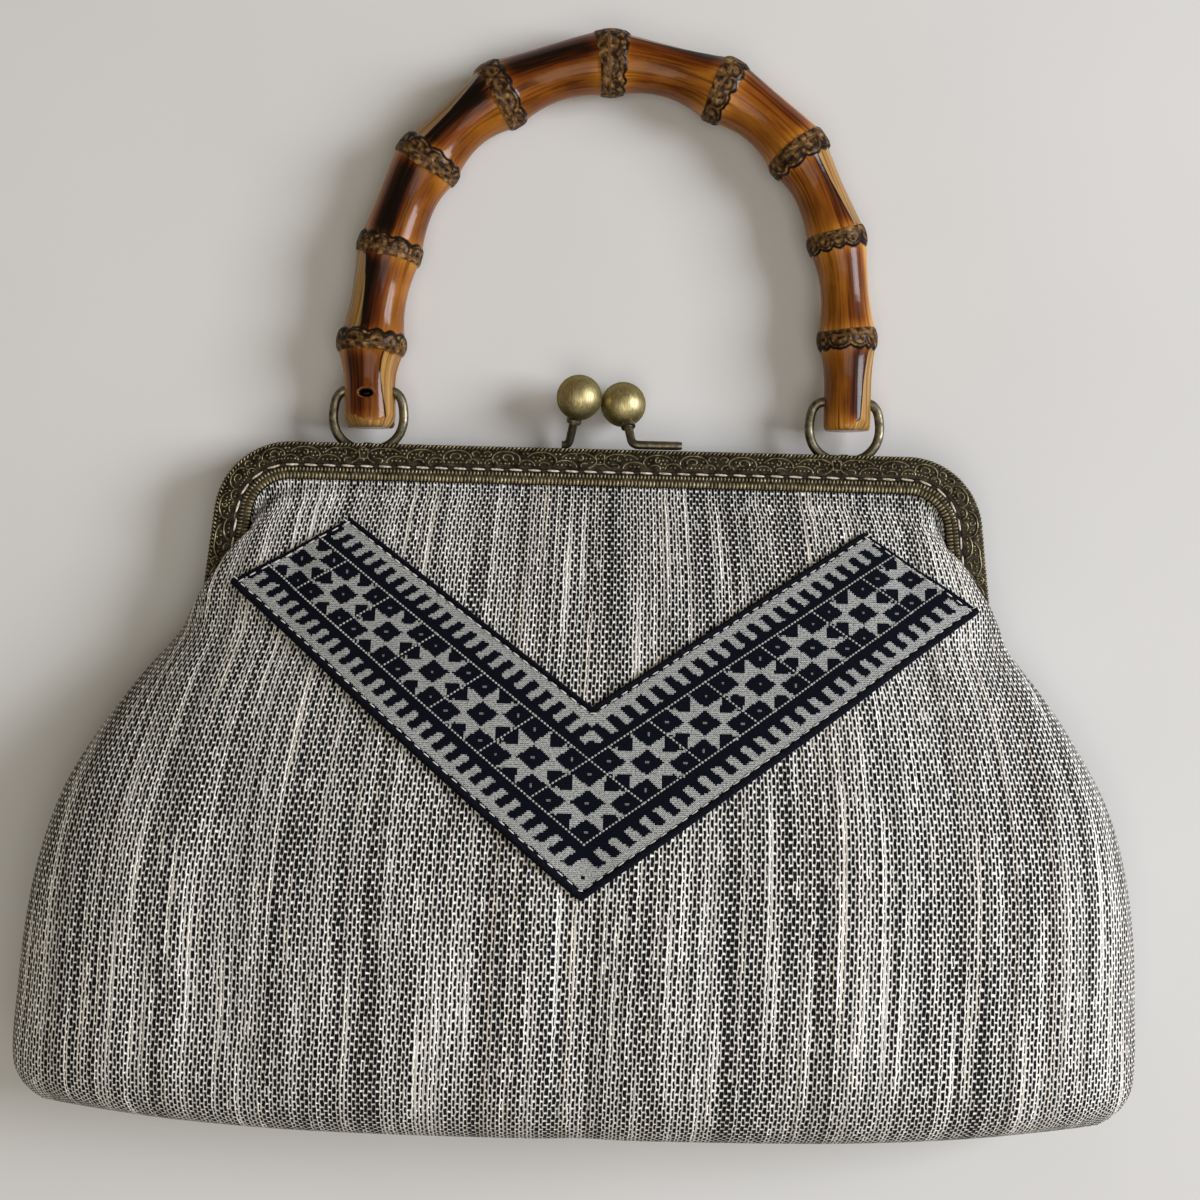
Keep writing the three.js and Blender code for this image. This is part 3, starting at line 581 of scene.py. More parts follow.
# One grid corner a loop. Loops past the tape's edge are drawn back to it, and the edge turns down.
left, right = (BRAID_OUTER[arm, 0] / KNIT_WIDE for arm in ARMS)
top, foot = BRAID_INNER[BRAID_LEFT, 1] / KNIT_HIGH, BRAID_OUTER[BRAID_POINT, 1] / KNIT_HIGH
loop_x, loop_y = np.meshgrid(np.arange(math.floor(left) - 1, math.ceil(right) + 2) * KNIT_WIDE,
                             np.arange(math.floor(top) - 1, math.ceil(foot) + 2) * KNIT_HIGH)
(mitre_x, mitre_y), (mitre_in_x, mitre_in_y) = BRAID_OUTER[BRAID_POINT], BRAID_INNER[BRAID_POINT]
mitre = mitre_in_x + (mitre_x - mitre_in_x) * (loop_y - mitre_in_y) / (mitre_y - mitre_in_y)
inside = np.zeros(loop_x.shape, dtype=bool)
knit_x, knit_y, knit_navy = (np.zeros(loop_x.shape) for _ in range(3))
for arm in ARMS:
    along, over = arm_place(arm, loop_x, loop_y)
    own = (loop_x < mitre) if arm == BRAID_LEFT else (loop_x >= mitre)
    inside |= own & (along > 0) & (along < PAST_MITRE) & (over > 0) & (over < 1)
    along, over = np.clip(along, 0, PAST_MITRE), np.clip(over, 0, 1)
    spot = arm_spot(arm, along, over)[0]
    band = BAND_OUTER + (BAND_INNER - BAND_OUTER) * over
    crowded = along + ARM_CROWD[arm] * along * (1 - along)
    knit_x[own], knit_y[own] = spot[own, 0], spot[own, 1]
    navy = star_tape(ARM_END + (1 - band - ARM_END) * crowded, band)
    knit_navy[own] = np.where(along < END_HEM, 1.0, navy)[own]
kept = inside[:-1, :-1] | inside[1:, :-1] | inside[1:, 1:] | inside[:-1, 1:]
used, quads = np.unique(grid_quads(np.arange(loop_x.size).reshape(loop_x.shape))[kept], return_inverse=True)
quads = quads.reshape(-1, 4)
knit_x, knit_y, knit_navy = (values.ravel()[used] for values in (knit_x, knit_y, knit_navy))
sides = np.concatenate([quads[:, [k, (k + 1) % 4]] for k in range(4)])
_, first, shared = np.unique(np.sort(sides, axis=1), axis=0, return_index=True, return_counts=True)
rim = sides[first[shared == 1]]
low, rim_low = np.unique(rim, return_inverse=True)
turned = np.c_[rim[:, ::-1], rim_low.reshape(-1, 2) + len(used)]
points = [on_front(knit_x, knit_y, BRAID_LIFT), on_front(knit_x[low], knit_y[low], TAPE_TURNED_TO)]
braid = mesh_piece("star_braid", np.concatenate(points), np.concatenate([quads, turned]).tolist(), braid_knit)
loops = np.stack([knit_x, knit_y, 0 * knit_x], axis=-1)
mark(braid, "threads", "FLOAT_VECTOR", np.concatenate([loops, loops[low]]))
mark(braid, "navy", "FLOAT", knit_navy[np.concatenate([quads[:, 0], rim[:, 0]])], "FACE")


def node_group(name, inputs):
    """A geometry node group, with its input node, that takes a geometry, the named inputs and a material."""
    group = bpy.data.node_groups.new(name, "GeometryNodeTree")
    for label, kind in (("Geometry", "Geometry"), *inputs, ("Material", "Material")):
        group.interface.new_socket(label, in_out="INPUT", socket_type="NodeSocket" + kind)
    group.interface.new_socket("Geometry", in_out="OUTPUT", socket_type="NodeSocketGeometry")
    return group, add(group, "NodeGroupInput")


def group_end(group, source, made):
    """The end of a node group: what it made is realised, dressed in the material and sent out."""
    whole = add(group, "GeometryNodeRealizeInstances", [made])
    dressed = add(group, "GeometryNodeSetMaterial", {
        "Geometry": whole, "Material": source.outputs["Material"]})
    add(group, "NodeGroupOutput", [dressed])


def grown(name, start, group, values):
    """The plain mesh object that a node group makes of a start object, which is then removed."""
    modifier = start.modifiers.new("grow", "NODES")
    modifier.node_group = group
    for item in group.interface.items_tree:
        if item.in_out == "INPUT" and item.name in values:
            modifier[item.identifier] = values[item.name]
    ready = start.evaluated_get(bpy.context.evaluated_depsgraph_get())
    mesh = bpy.data.meshes.new_from_object(ready)
    mesh.name = name
    start.modifiers.remove(modifier)
    bpy.data.objects.remove(start)
    piece = bpy.data.objects.new(name, mesh)
    scene.collection.objects.link(piece)
    return piece


def path_object(name, lines):
    """A curve object whose straight-stepped splines follow lists of points in millimetres."""
    curve = bpy.data.curves.new(name, "CURVE")
    curve.dimensions = "3D"
    for line in lines:
        spline = curve.splines.new("POLY")
        spline.points.add(len(line) - 1)
        spline.points.foreach_set("co", np.c_[np.asarray(line) * MM, np.ones(len(line))].ravel())
    piece = bpy.data.objects.new(name, curve)
    scene.collection.objects.link(piece)
    return piece


# A round wire or roll swept along each spline.
wire_group, source = node_group("wire_on_path", [("Radius", "Float"), ("Sides", "Int")])
circle = add(wire_group, "GeometryNodeCurvePrimitiveCircle", {
    "Resolution": source.outputs["Sides"], "Radius": source.outputs["Radius"]})
tube = add(wire_group, "GeometryNodeCurveToMesh", {
    "Curve": source.outputs["Geometry"], "Profile Curve": circle, "Fill Caps": True})
group_end(wire_group, source, add(wire_group, "GeometryNodeSetShadeSmooth", [tube]))

# Copies of a motif at even steps along each spline, turned to its run about the upright.
row_group, source = node_group("row_on_path", [("Pitch", "Float"), ("Motif", "Object"), ("Slant", "Float")])
steps = add(row_group, "GeometryNodeResampleCurve", {
    "Curve": source.outputs["Geometry"], "Length": source.outputs["Pitch"]}, mode="LENGTH")
run = add(row_group, "GeometryNodeInputTangent")
turned = add(row_group, "FunctionNodeAlignRotationToVector", {"Vector": run}, axis="X", pivot_axis="Z")
slant = add(row_group, "FunctionNodeAxisAngleToRotation", {"Angle": source.outputs["Slant"]})
turned = add(row_group, "FunctionNodeRotateRotation", {
    "Rotation": turned, "Rotate By": slant}, rotation_space="LOCAL")
motif = add(row_group, "GeometryNodeObjectInfo", {"Object": source.outputs["Motif"]})
group_end(row_group, source, add(row_group, "GeometryNodeInstanceOnPoints", {
    "Points": steps, "Instance": motif.outputs["Geometry"], "Rotation": turned}))


def round_angles(count):
    """Even angles once round."""
    return np.linspace(0, 2 * math.pi, count, endpoint=False)


def pellet(long, wide, high, around=8, bands=4):
    """A small lump with blunt ends, long in x and wide in y, as the motif of a row."""
    points = [(-long / 2, 0, 0)]
    for tilt in np.arange(1, bands) * math.pi / bands:
        x, blunt = -math.cos(tilt) * long / 2, math.sin(tilt) ** PELLET_BLUNT
        points += [(x, math.cos(a) * blunt * wide / 2, math.sin(a) * blunt * high / 2)
                   for a in round_angles(around)]
    points.append((long / 2, 0, 0))
    faces = []
    for k in range(around):
        j = (k + 1) % around
        faces.append((0, 1 + j, 1 + k))
        for first in range(1, 1 + (bands - 2) * around, around):
            faces.append((first + k, first + j, first + around + j, first + around + k))
        last = 1 + (bands - 2) * around
        faces.append((last + k, last + j, last + around))
    return mesh_piece("motif", points, faces, braid_knit)


def row_of(name, lines, size, pitch, slant, material):
    """Lumps of one size at even steps along lines of points in millimetres."""
    motif = pellet(*size)
    piece = grown(name, path_object(name, lines), row_group, {
        "Pitch": pitch * MM, "Motif": motif, "Slant": slant, "Material": material})
    bpy.data.objects.remove(motif)
    return piece


def wire_of(name, lines, radius, sides, material):
    """Round wires along lines of points in millimetres."""
    return grown(name, path_object(name, lines), wire_group, {
        "Radius": radius * MM, "Sides": sides, "Material": material})


def tape_line(spots, lift):
    """A line of points over the front cloth through corner places of the tape."""
    spots = np.array(spots)
    line = []
    for start, end in zip(spots[:-1], spots[1:]):
        count = max(2, int(math.hypot(*(end - start)) / TAPE_STEP))
        line.append(start + (end - start) * np.linspace(0, 1, count)[:-1, None])
    line = np.concatenate([*line, spots[-1:]])
    return on_front(line[:, 0], line[:, 1], lift)


def drawn_in(pool, facing, share):
    """Corner places of one edge of the tape, moved a share of the way to its other edge."""
    return (pool + (facing - pool) * share)[[BRAID_LEFT, BRAID_POINT, BRAID_RIGHT]]


# Navy cotton twill: the rolled edge, nearly black with a soft blue bloom along the roll.
navy_roll = mottled("navy_cotton_roll", 0.6, 3.0, [(0.3, "#020308"), (0.55, "#060812"), (0.8, "#12172a")],
                    {"Roughness": 0.95, "Specular IOR Level": 0.12}, bump=(0.6, 0.15))
# Knitting cotton of the ruled lines: the same matt grey white as the ground.
line_yarn = mottled("white_knitting_cotton", 0.4, 2.0,
                    [(0.3, "#7d7f7e"), (0.55, "#a5a6a4"), (0.8, "#c6c6c3")],
                    {"Roughness": 0.95, "Specular IOR Level": 0.1})
# Spun polyester sewing thread: ivory white, slightly bright.
white_thread = mottled("spun_polyester_thread", 0.4, 2.0,
                       [(0.3, "#a3a29f"), (0.6, "#cbcac7"), (0.8, "#e2e1df")], {"Roughness": 0.5})

trims = []
for name, pool, facing, (share, radius) in (("braid_roll_outer", BRAID_OUTER, BRAID_INNER, ROLL_OUTER),
                                            ("braid_roll_inner", BRAID_INNER, BRAID_OUTER, ROLL_INNER)):
    line = tape_line(drawn_in(pool, facing, share), BRAID_LIFT - radius * ROLL_SUNK)
    trims.append(wire_of(name, [line], radius, ROLL_AROUND, navy_roll))
lines = [drawn_in(BRAID_OUTER, BRAID_INNER, SEWN_OUTER), drawn_in(BRAID_INNER, BRAID_OUTER, SEWN_INNER)]
for arm in ARMS:
    lines.append([arm_spot(arm, SEWN_END, over)[0] for over in SEWN_END_SPAN])
lines = [tape_line(line, BRAID_LIFT + RUNNING_STITCH[2] * RUNNING_RAISED) for line in lines]
trims.append(row_of("braid_stitches", lines, RUNNING_STITCH, RUNNING_PITCH, 0.0, white_thread))

# The star field is ruled with single white loops, along both of its sides and between the repeats.
field_sides = [(side - BAND_OUTER) / (BAND_INNER - BAND_OUTER) for side in (0, 1)]
lines = []
for arm, crowd in ARM_CROWD.items():
    lines += [[arm_spot(arm, share, over)[0] for share in LINE_SPAN] for over in field_sides]
    for repeat in range(math.ceil(ARM_END), 1):
        ends = []
        for side, over in zip((0, 1), field_sides):
            target = (repeat - ARM_END) / (1 - side - ARM_END)
            share = (1 + crowd - math.sqrt((1 + crowd) ** 2 - 4 * crowd * target)) / (2 * crowd)
            ends.append(arm_spot(arm, share, over)[0])
        lines.append(ends)
lines = [tape_line(line, BRAID_LIFT + LINE_LIFT) for line in lines]
trims.append(row_of("braid_lines", lines, LINE_BEAD, LINE_PITCH, 0.0, line_yarn))

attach(braid, "bag")
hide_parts("braid_trim")
for trim in trims:
    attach(trim, "bag")


# The frame. Two pressed-steel channels in antique brass plate close on each other round the mouth;
# each face has a roped outer edge, cast scrolls and berries, and two rows of reeds at the lip.
PARTING_Z = 9.4
PARTING_HALF = 0.3
SHOULDER = 98.7
CORNER = 20.0
SPLAY = math.radians(6.5)
LEG_DROP = 40.0
CORNER_FROM = SHOULDER - CORNER * (1 - math.sin(SPLAY)) / math.cos(SPLAY)
CORNER_RUN = CORNER * (math.pi / 2 - SPLAY)
LEG_RUN = (LEG_DROP - CORNER * (1 - math.sin(SPLAY))) / math.cos(SPLAY)
FRAME_RUN = CORNER_FROM + CORNER_RUN + LEG_RUN
FRAME_STEPS = 130
ROW_END = FRAME_RUN - 0.6
ROW_POINTS = 400
RING_SPOTS = (-61.6, 64.6)
NOTCH_HALF = 8.5
NOTCH_RISE = 2.6
NOTCH_EDGE = 0.01
HALVES = ((1, "front"), (-1, "back"))
# The channel's pressed section: across from the outer edge and height off the parting plane, for
# the outer face and, in the same order, for the inside.
CHANNEL_FACE = [(0, 0), (0, 5.3), (0.15, 5.8), (0.5, 6.15), (1.0, 6.25), (1.15, 6.3), (5.6, 6.3), (5.9, 6.05),
                (6.3, 6.05), (6.6, 6.25), (7.7, 6.25), (8.0, 6.2), (9.0, 6.15), (9.6, 5.8), (9.8, 5.4)]
CHANNEL_BACK = [(1.4, 0), (1.4, 4.3), (1.5, 4.7), (1.8, 5.0), (2.0, 5.1), (2.2, 5.1), (5.4, 5.1), (5.9, 4.95),
                (6.3, 4.9), (6.6, 4.9), (7.7, 4.9), (8.0, 4.9), (8.9, 4.9), (9.5, 4.85), (9.8, 4.8)]
CHANNEL_SHARP = math.radians(38)
GROUND = 6.3
# Scroll wires of half a motif, mirrored about its ends: middle along and across, half width, half
# height, start and end angle, and how far the radius closes in to a curl.
HALF_MOTIF = 31.0
SCROLLS = [
    (5.6, 3.3, 4.6, 2.2, 235, 20, 1.0), (5.1, 2.6, 0.75, 0.75, 100, 330, 0.5),
    (4.0, 4.6, 1.3, 0.8, 130, -40, 0.7), (9.1, 5.0, 3.0, 1.8, 180, 5, 1.0),
    (15.3, 3.4, 3.9, 2.2, 215, 20, 1.0), (15.2, 2.7, 0.8, 0.8, 80, 380, 0.4),
    (14.6, 4.7, 1.5, 0.9, 160, -10, 0.8), (19.2, 4.9, 2.1, 1.5, 180, 10, 1.0),
    (24.6, 3.3, 3.6, 2.1, -30, 190, 1.0), (24.4, 3.0, 1.7, 1.2, 200, -120, 0.35),
    (28.6, 4.7, 1.7, 1.3, 175, 0, 0.9), (29.3, 2.2, 1.2, 0.9, 10, 260, 0.5),
]
SCROLL_POINTS = 22
SCROLL_SPAN = (1.25, 5.35)
SCROLL_LIFT = 0.02
# Corners of the small house at the middle of the motif.
HOUSE = np.array([(-0.9, 4.0), (-1.2, 1.75), (0.0, 0.95), (1.2, 1.75), (0.9, 4.0), (-0.9, 4.0)])
WIRE = 0.27
WIRE_AROUND = 6
BERRY = (0.72, 0.72, 0.5, 6)
BERRY_PITCH = 1.06
BERRY_ROWS = BERRY_PITCH * 0.866
BERRY_SPAN = (1.7, 5.3)
BERRY_CLEAR = 0.62


def band_points(run, across, height, side):
    """Points over one frame half: run from the middle of the top, across inward, height off the parting."""
    run, across, height = np.broadcast_arrays(run, across, height)
    reach = np.abs(run)
    angle = math.pi / 2 - np.clip((reach - CORNER_FROM) / CORNER, 0, math.pi / 2 - SPLAY)
    leg = np.maximum(0.0, reach - CORNER_FROM - CORNER_RUN)
    x = np.minimum(reach, CORNER_FROM) + (CORNER - across) * np.cos(angle) + leg * math.sin(SPLAY)
    drop = CORNER - (CORNER - across) * np.sin(angle) + leg * math.cos(SPLAY)
    return to_part(np.where(run < 0, -x, x), drop, PARTING_Z + side * (PARTING_HALF + height))


def tube_faces(rings, around, closed=False):
    """Faces of a tube of point rings, which runs into itself or is capped at both ends."""
    spot = np.arange(rings * around).reshape(rings, around)
    faces = grid_quads(np.pad(spot, ((0, int(closed)), (0, 1)), mode="wrap")).reshape(-1, 4).tolist()
    return faces if closed else faces + [spot[0].tolist(), spot[-1, ::-1].tolist()]


# Antique brass plate on pressed steel: near-black olive patina in the ground, rubbed to dull gold on
# the relief and palest on the lip that hands touch. Each has a fine mottle and a worn, uneven gloss.
ground_brass, rubbed_brass, lip_brass, wire_brass = (
    mottled("antique_brass_" + name, 1.4, 4.0, [(0.3, dark), (0.52, mid), (0.75, light)], {"Metallic": 1.0},
            bump=(0.25, 0.05), gloss=(rough + 0.12, rough - 0.06))
    for name, dark, mid, light, rough in (
        ("ground", "#1b1914", "#322e26", "#4b463a", 0.5), ("rubbed", "#484231", "#6d654f", "#918970", 0.42),
        ("lip", "#554d3a", "#7a7056", "#9c9175", 0.5), ("wire", "#454135", "#6a6453", "#8c8571", 0.44)))

# Small lumps set on loose points, for the berries.
lump_group, source = node_group("lumps_on_points", [("Motif", "Object")])
motif = add(lump_group, "GeometryNodeObjectInfo", {"Object": source.outputs["Motif"]})
group_end(lump_group, source, add(lump_group, "GeometryNodeInstanceOnPoints", {
    "Points": source.outputs["Geometry"], "Instance": motif.outputs["Geometry"]}))

straight = np.arange(-FRAME_RUN, FRAME_RUN + 0.01, FRAME_RUN / FRAME_STEPS)
edges = [spot + way * (NOTCH_HALF + nudge) for spot in RING_SPOTS for way in (-1, 1)
         for nudge in (-NOTCH_EDGE, NOTCH_EDGE)]
stations = np.unique(np.concatenate([straight, edges]))[:, None]
in_notch = np.any(np.abs(stations - RING_SPOTS) < NOTCH_HALF, axis=1, keepdims=True)
channel = np.array(CHANNEL_FACE + CHANNEL_BACK[::-1], dtype=float)
foot = np.where(in_notch & (channel[:, 1] == 0), NOTCH_RISE, channel[:, 1])

# Scroll lines and berry spots along the whole band, as run and across.
wires = []
for centre in np.arange(-4, 5, 2) * HALF_MOTIF:
    wires.append(HOUSE + (centre, 0))
    for way in (-1, 1):
        for along, across, wide, high, begin, end, close in SCROLLS:
            share = np.linspace(0, 1, SCROLL_POINTS)
            angle = np.radians(begin + (end - begin) * share)
            size = 1 + (close - 1) * share
            line = np.stack([centre + way * (along + wide * size * np.cos(angle)),
                             across - high * size * np.sin(angle)], axis=-1)
            wires.append(line[(line[:, 1] > SCROLL_SPAN[0]) & (line[:, 1] < SCROLL_SPAN[1])])
wires = [line[np.abs(line[:, 0]) < ROW_END] for line in wires]
wires = [line for line in wires if len(line) > 3]
drawn = np.concatenate(wires)
berries = []
for k, across in enumerate(np.arange(*BERRY_SPAN, BERRY_ROWS)):
    for run in np.arange(-FRAME_RUN + 1, FRAME_RUN - 1, BERRY_PITCH) + (k % 2) * BERRY_PITCH / 2:
        if np.min(np.hypot(drawn[:, 0] - run, drawn[:, 1] - across)) > BERRY_CLEAR:
            berries.append((run, across))
berries = np.array(berries)

# Rows of lumps along the band: name, across, height, pitch, size, slant, brass.
ROWS = [
    ("rope", 0.55, 6.2, 1.05, (1.5, 0.62, 0.62), math.radians(52), rubbed_brass),
    ("reeds", 7.15, 6.2, 0.95, (1.5, 0.74, 0.62), math.pi / 2, rubbed_brass),
    ("lip", 8.8, 6.08, 0.95, (1.95, 0.82, 0.54), math.pi / 2, lip_brass),
]
for side, half in HALVES:
    shell = band_points(stations, channel[:, 0], foot, side)
    faces = tube_faces(*shell.shape[:2])
    faces = faces if side > 0 else [face[::-1] for face in faces]
    shell_piece = mesh_piece(half + "_frame_channel", shell.reshape(-1, 3), faces, ground_brass)
    shell_piece.data.set_sharp_from_angle(angle=CHANNEL_SHARP)
    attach(shell_piece, "bag")
    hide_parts(half + "_frame")
    reliefs = []
    for label, across, height, pitch, size, slant, brass in ROWS:
        line = band_points(np.linspace(-ROW_END, ROW_END, ROW_POINTS), across, height, side)
        reliefs.append(row_of(half + "_frame_" + label, [line], size, pitch, slant, brass))
    lines = [band_points(line[:, 0], line[:, 1], GROUND + SCROLL_LIFT, side) for line in wires]
    reliefs.append(wire_of(half + "_frame_scrolls", lines, WIRE, WIRE_AROUND, rubbed_brass))
    name = half + "_frame_berries"
    motif = pellet(*BERRY)
    start = mesh_piece(name, band_points(berries[:, 0], berries[:, 1], GROUND, side), [], rubbed_brass)
    reliefs.append(grown(name, start, lump_group, {"Motif": motif, "Material": rubbed_brass}))
    bpy.data.objects.remove(motif)
    for relief in reliefs:
        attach(relief, "bag")


# The ring eyes. A short bored lug of the same plated brass is soldered inside the back half at each
# notch, and the D-ring swings in it.
EYE_BORE = 3.0
EYE_REACH = 2.25
EYE_HALF = 1.0
EYE_DROP = 1.6
EYE_FOOT = 3.9
EYE_SQUARE = 0.3
EYE_AROUND = 24
EYE_SHARP = math.radians(40)

angle = round_angles(EYE_AROUND)
points, faces = [], []
for spot in RING_SPOTS:
    faces += [[len(points) + k for k in face] for face in tube_faces(4, EYE_AROUND, closed=True)]
    for reach, off in ((EYE_REACH, -EYE_HALF), (EYE_REACH, EYE_HALF),
                       (EYE_BORE / 2, EYE_HALF), (EYE_BORE / 2, -EYE_HALF)):
        footed = (np.sin(angle) < 0) & (reach == EYE_REACH)
        foot_height = (EYE_FOOT - PARTING_Z) * np.abs(np.sin(angle)) ** EYE_SQUARE
        height = PARTING_Z + np.where(footed, foot_height, reach * np.sin(angle))
        points += to_part(np.full(EYE_AROUND, spot + off), EYE_DROP - reach * np.cos(angle), height).tolist()
eyes = mesh_piece("ring_eyes", points, faces, wire_brass)
eyes.data.set_sharp_from_angle(angle=EYE_SHARP)
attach(eyes, "bag")


# The frame's sewing. Waxed ivory thread passes through punched holes in the channel and catches the
# cloth inside, one long stitch between each pair of holes.
STITCH_PITCH = 4.85
STITCH_SLANT = math.radians(-3)
STITCH_END = 4.0
HOLE = 1.35
# Waxed linen thread: ivory with a rosy cast, worn brighter along its back.
waxed_thread = mottled("waxed_linen_thread", 0.5, 2.0,
                       [(0.3, "#7d6f64"), (0.52, "#b8a99c"), (0.75, "#e4dbd1")], {"Roughness": 0.45})
# Punched hole: a flat near-black lump laid on the plate, painted shade in place of the dark inside of a real
# hole.
painted_hole_shade = mottled("punched_hole_painted_shade", 0.8, 2.0, [(0.3, "#050403"), (0.7, "#12100b")], {"Roughness": 0.8})
# What the sewing shows: name, size, across, height, start in pitches, material.
SEWING = [
    ("stitches", (3.7, 0.62, 0.6), 6.05, 6.35, 0.5, waxed_thread),
    # The holes are flat dark lumps on the face, painted shade for their depth.
    ("holes", (HOLE, HOLE * 0.9, 0.12), 5.9, 6.1, 0.0, painted_hole_shade),
]
reach = math.floor(2 * (FRAME_RUN - STITCH_END) / STITCH_PITCH) * STITCH_PITCH / 2
for side, half in HALVES:
    for label, size, across, height, offset, stuff in SEWING:
        end = reach - offset * STITCH_PITCH
        line = band_points(np.linspace(-end, end, ROW_POINTS), across, height, side)
        piece = row_of(half + "_frame_" + label, [line], size, STITCH_PITCH, STITCH_SLANT, stuff)
        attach(piece, "bag")


# The hinges. A short riveted block at the foot of each leg, plated like the frame, holds the two
# halves together. The cloth hides it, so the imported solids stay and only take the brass.
for name in ("hinge_left", "hinge_right"):
    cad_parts[name].data.materials.clear()
    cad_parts[name].data.materials.append(wire_brass)


# The kiss-lock clasp. Two cast brass balls on bent stems, each soldered to one half's rim, that
# snap past each other; ball, collar, stem and foot are one piece.
BALL = 12.0
BALL_HALF_SPACING = 5.85
BALL_RISE = {1: 12.6, -1: 13.8}
BALL_LEAN = 2.0
BALL_RINGS = 26
POLE_TILT = 0.02
NECK_TILT = 0.25
COLLAR = 3.8
COLLAR_LENGTH = 1.6
STEM = 2.3
# The collar from the ball down: distance from the neck and radius.
COLLAR_RINGS = [
    (0.0, COLLAR * 0.42), (0.1, COLLAR / 2), (COLLAR_LENGTH * 0.45, COLLAR * 0.53),
    (COLLAR_LENGTH * 0.9, COLLAR / 2), (COLLAR_LENGTH, STEM * 0.55), (COLLAR_LENGTH + 0.3, STEM / 2),
]
BEND_REACH = 1.8
BEND_SHARES = np.linspace(0, 1, 9)
FOOT_SHARES = np.linspace(0.2, 1, 8)
FOOT_RISE = 1.5
FOOT_Z = 3.85
FOOT_FROM = 8.45
FOOT_TO = {1: 21.5, -1: 10.3}
TOE = STEM * 0.42
CLASP_AROUND = 28
CLASP_SHARP = math.radians(50)
STROKE_SCALE = (3000.0, 300.0, 3000.0)


def swept(points, radii, sides, closed=False):
    """A tube of changing radius along a line of points, as points and faces, with flat caps unless it is
    closed.
    """
    points = np.asarray(points, dtype=float)
    if closed:
        way = unit(np.roll(points, -1, axis=0) - np.roll(points, 1, axis=0))
    else:
        way = unit(np.gradient(points, axis=0))
    upright = (0.0, 0.0, 1.0) if abs(way[0, 2]) < 0.9 else (1.0, 0.0, 0.0)
    out = unit(np.cross(way, upright))
    over = np.cross(out, way)
    angle = round_angles(sides)[None, :, None]
    rings = points[:, None] + np.asarray(radii)[:, None, None] * (
        np.cos(angle) * out[:, None] + np.sin(angle) * over[:, None])
    return rings.reshape(-1, 3), tube_faces(len(points), sides, closed)


# Cast brass, antique plated and tumbled: olive gold on the crown, brown-black towards the collar,
# with brushed strokes 0.3 mm fine and 3 mm long.
ball_brass, tree = material_tree("brushed_antique_brass")
spots = add(tree, "TexCoord")
brush = add(tree, "Mapping", {"Vector": spots.outputs["Object"], "Scale": STROKE_SCALE})
strokes = add(tree, "TexNoise", {"Vector": brush, "Scale": 1.0, "Detail": 3.0})
tone = add(tree, "ValToRGB", [strokes], [(0.3, "#877c52"), (0.55, "#ada176"), (0.8, "#cac099")])
bump = add(tree, "Bump", {"Height": strokes, "Strength": 0.15, "Distance": 0.05 * MM})
shader = add(tree, "BsdfPrincipled", {
    "Base Color": tone, "Metallic": 1.0, "Roughness": 0.48, "Specular Tint": linear("#7d765c"),
    "Normal": bump})
add(tree, "OutputMaterial", {"Surface": shader})
for side, half in HALVES:
    ball = np.array([side * BALL_HALF_SPACING, BALL_RISE[side], PARTING_Z - side * BALL_LEAN])
    bend = np.array([side * FOOT_FROM, FOOT_RISE, PARTING_Z + side * FOOT_Z])
    toe = np.array([side * FOOT_TO[side], FOOT_RISE, PARTING_Z + side * FOOT_Z])
    stem_way, foot_way = unit(bend - ball), unit(toe - bend)
    rings = []
    for tilt in np.linspace(POLE_TILT, math.pi - NECK_TILT, BALL_RINGS):
        rings.append((*(ball - stem_way * math.cos(tilt) * BALL / 2), math.sin(tilt) * BALL / 2))
    neck = ball + stem_way * BALL / 2 * math.cos(NECK_TILT)
    rings += [(*(neck + stem_way * off), wide) for off, wide in COLLAR_RINGS]
    before, after = bend - stem_way * BEND_REACH, bend + foot_way * BEND_REACH
    for share in BEND_SHARES:
        bent = (1 - share) ** 2 * before + 2 * share * (1 - share) * bend + share ** 2 * after
        rings.append((*bent, STEM / 2))
    for share in FOOT_SHARES:
        rings.append((*(after + (toe - after) * share), TOE if share == 1 else STEM / 2))
    across, rise, height, radii = np.array(rings).T
    points, faces = swept(to_part(across, -rise, height), radii, CLASP_AROUND)
    clasp = mesh_piece("clasp_" + half + "_ball", points, faces, ball_brass)
    # The ball and its cap keep the brushed brass, and the collar, stem, foot and toe take the wire's.
    clasp.data.materials.append(wire_brass)
    ball_cap = len(faces) - 2
    for index, face in enumerate(clasp.data.polygons):
        if index >= BALL_RINGS * CLASP_AROUND and index != ball_cap:
            face.material_index = 1
    clasp.data.set_sharp_from_angle(angle=CLASP_SHARP)
    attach(clasp, "bag")
    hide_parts("clasp_" + half)


# The rings. Two D-rings of round brass wire, bent and soldered shut and plated like the frame, each
# through an eye in the rim and a bore in the bamboo.
RING_WIRE = 2.5
RING_AROUND = 14
RING_STEPS = 10
RING_OUTLINE = [(0, 14.2), (6.6, 14.2), (8.4, 12.5), (9.2, 9.4), (9.2, 5.8), (8.0, 2.6), (5.3, 0.0),
                (0, -1.6), (-5.3, 0.0), (-8.0, 2.6), (-9.2, 5.8), (-9.2, 9.4), (-8.4, 12.5), (-6.6, 14.2)]


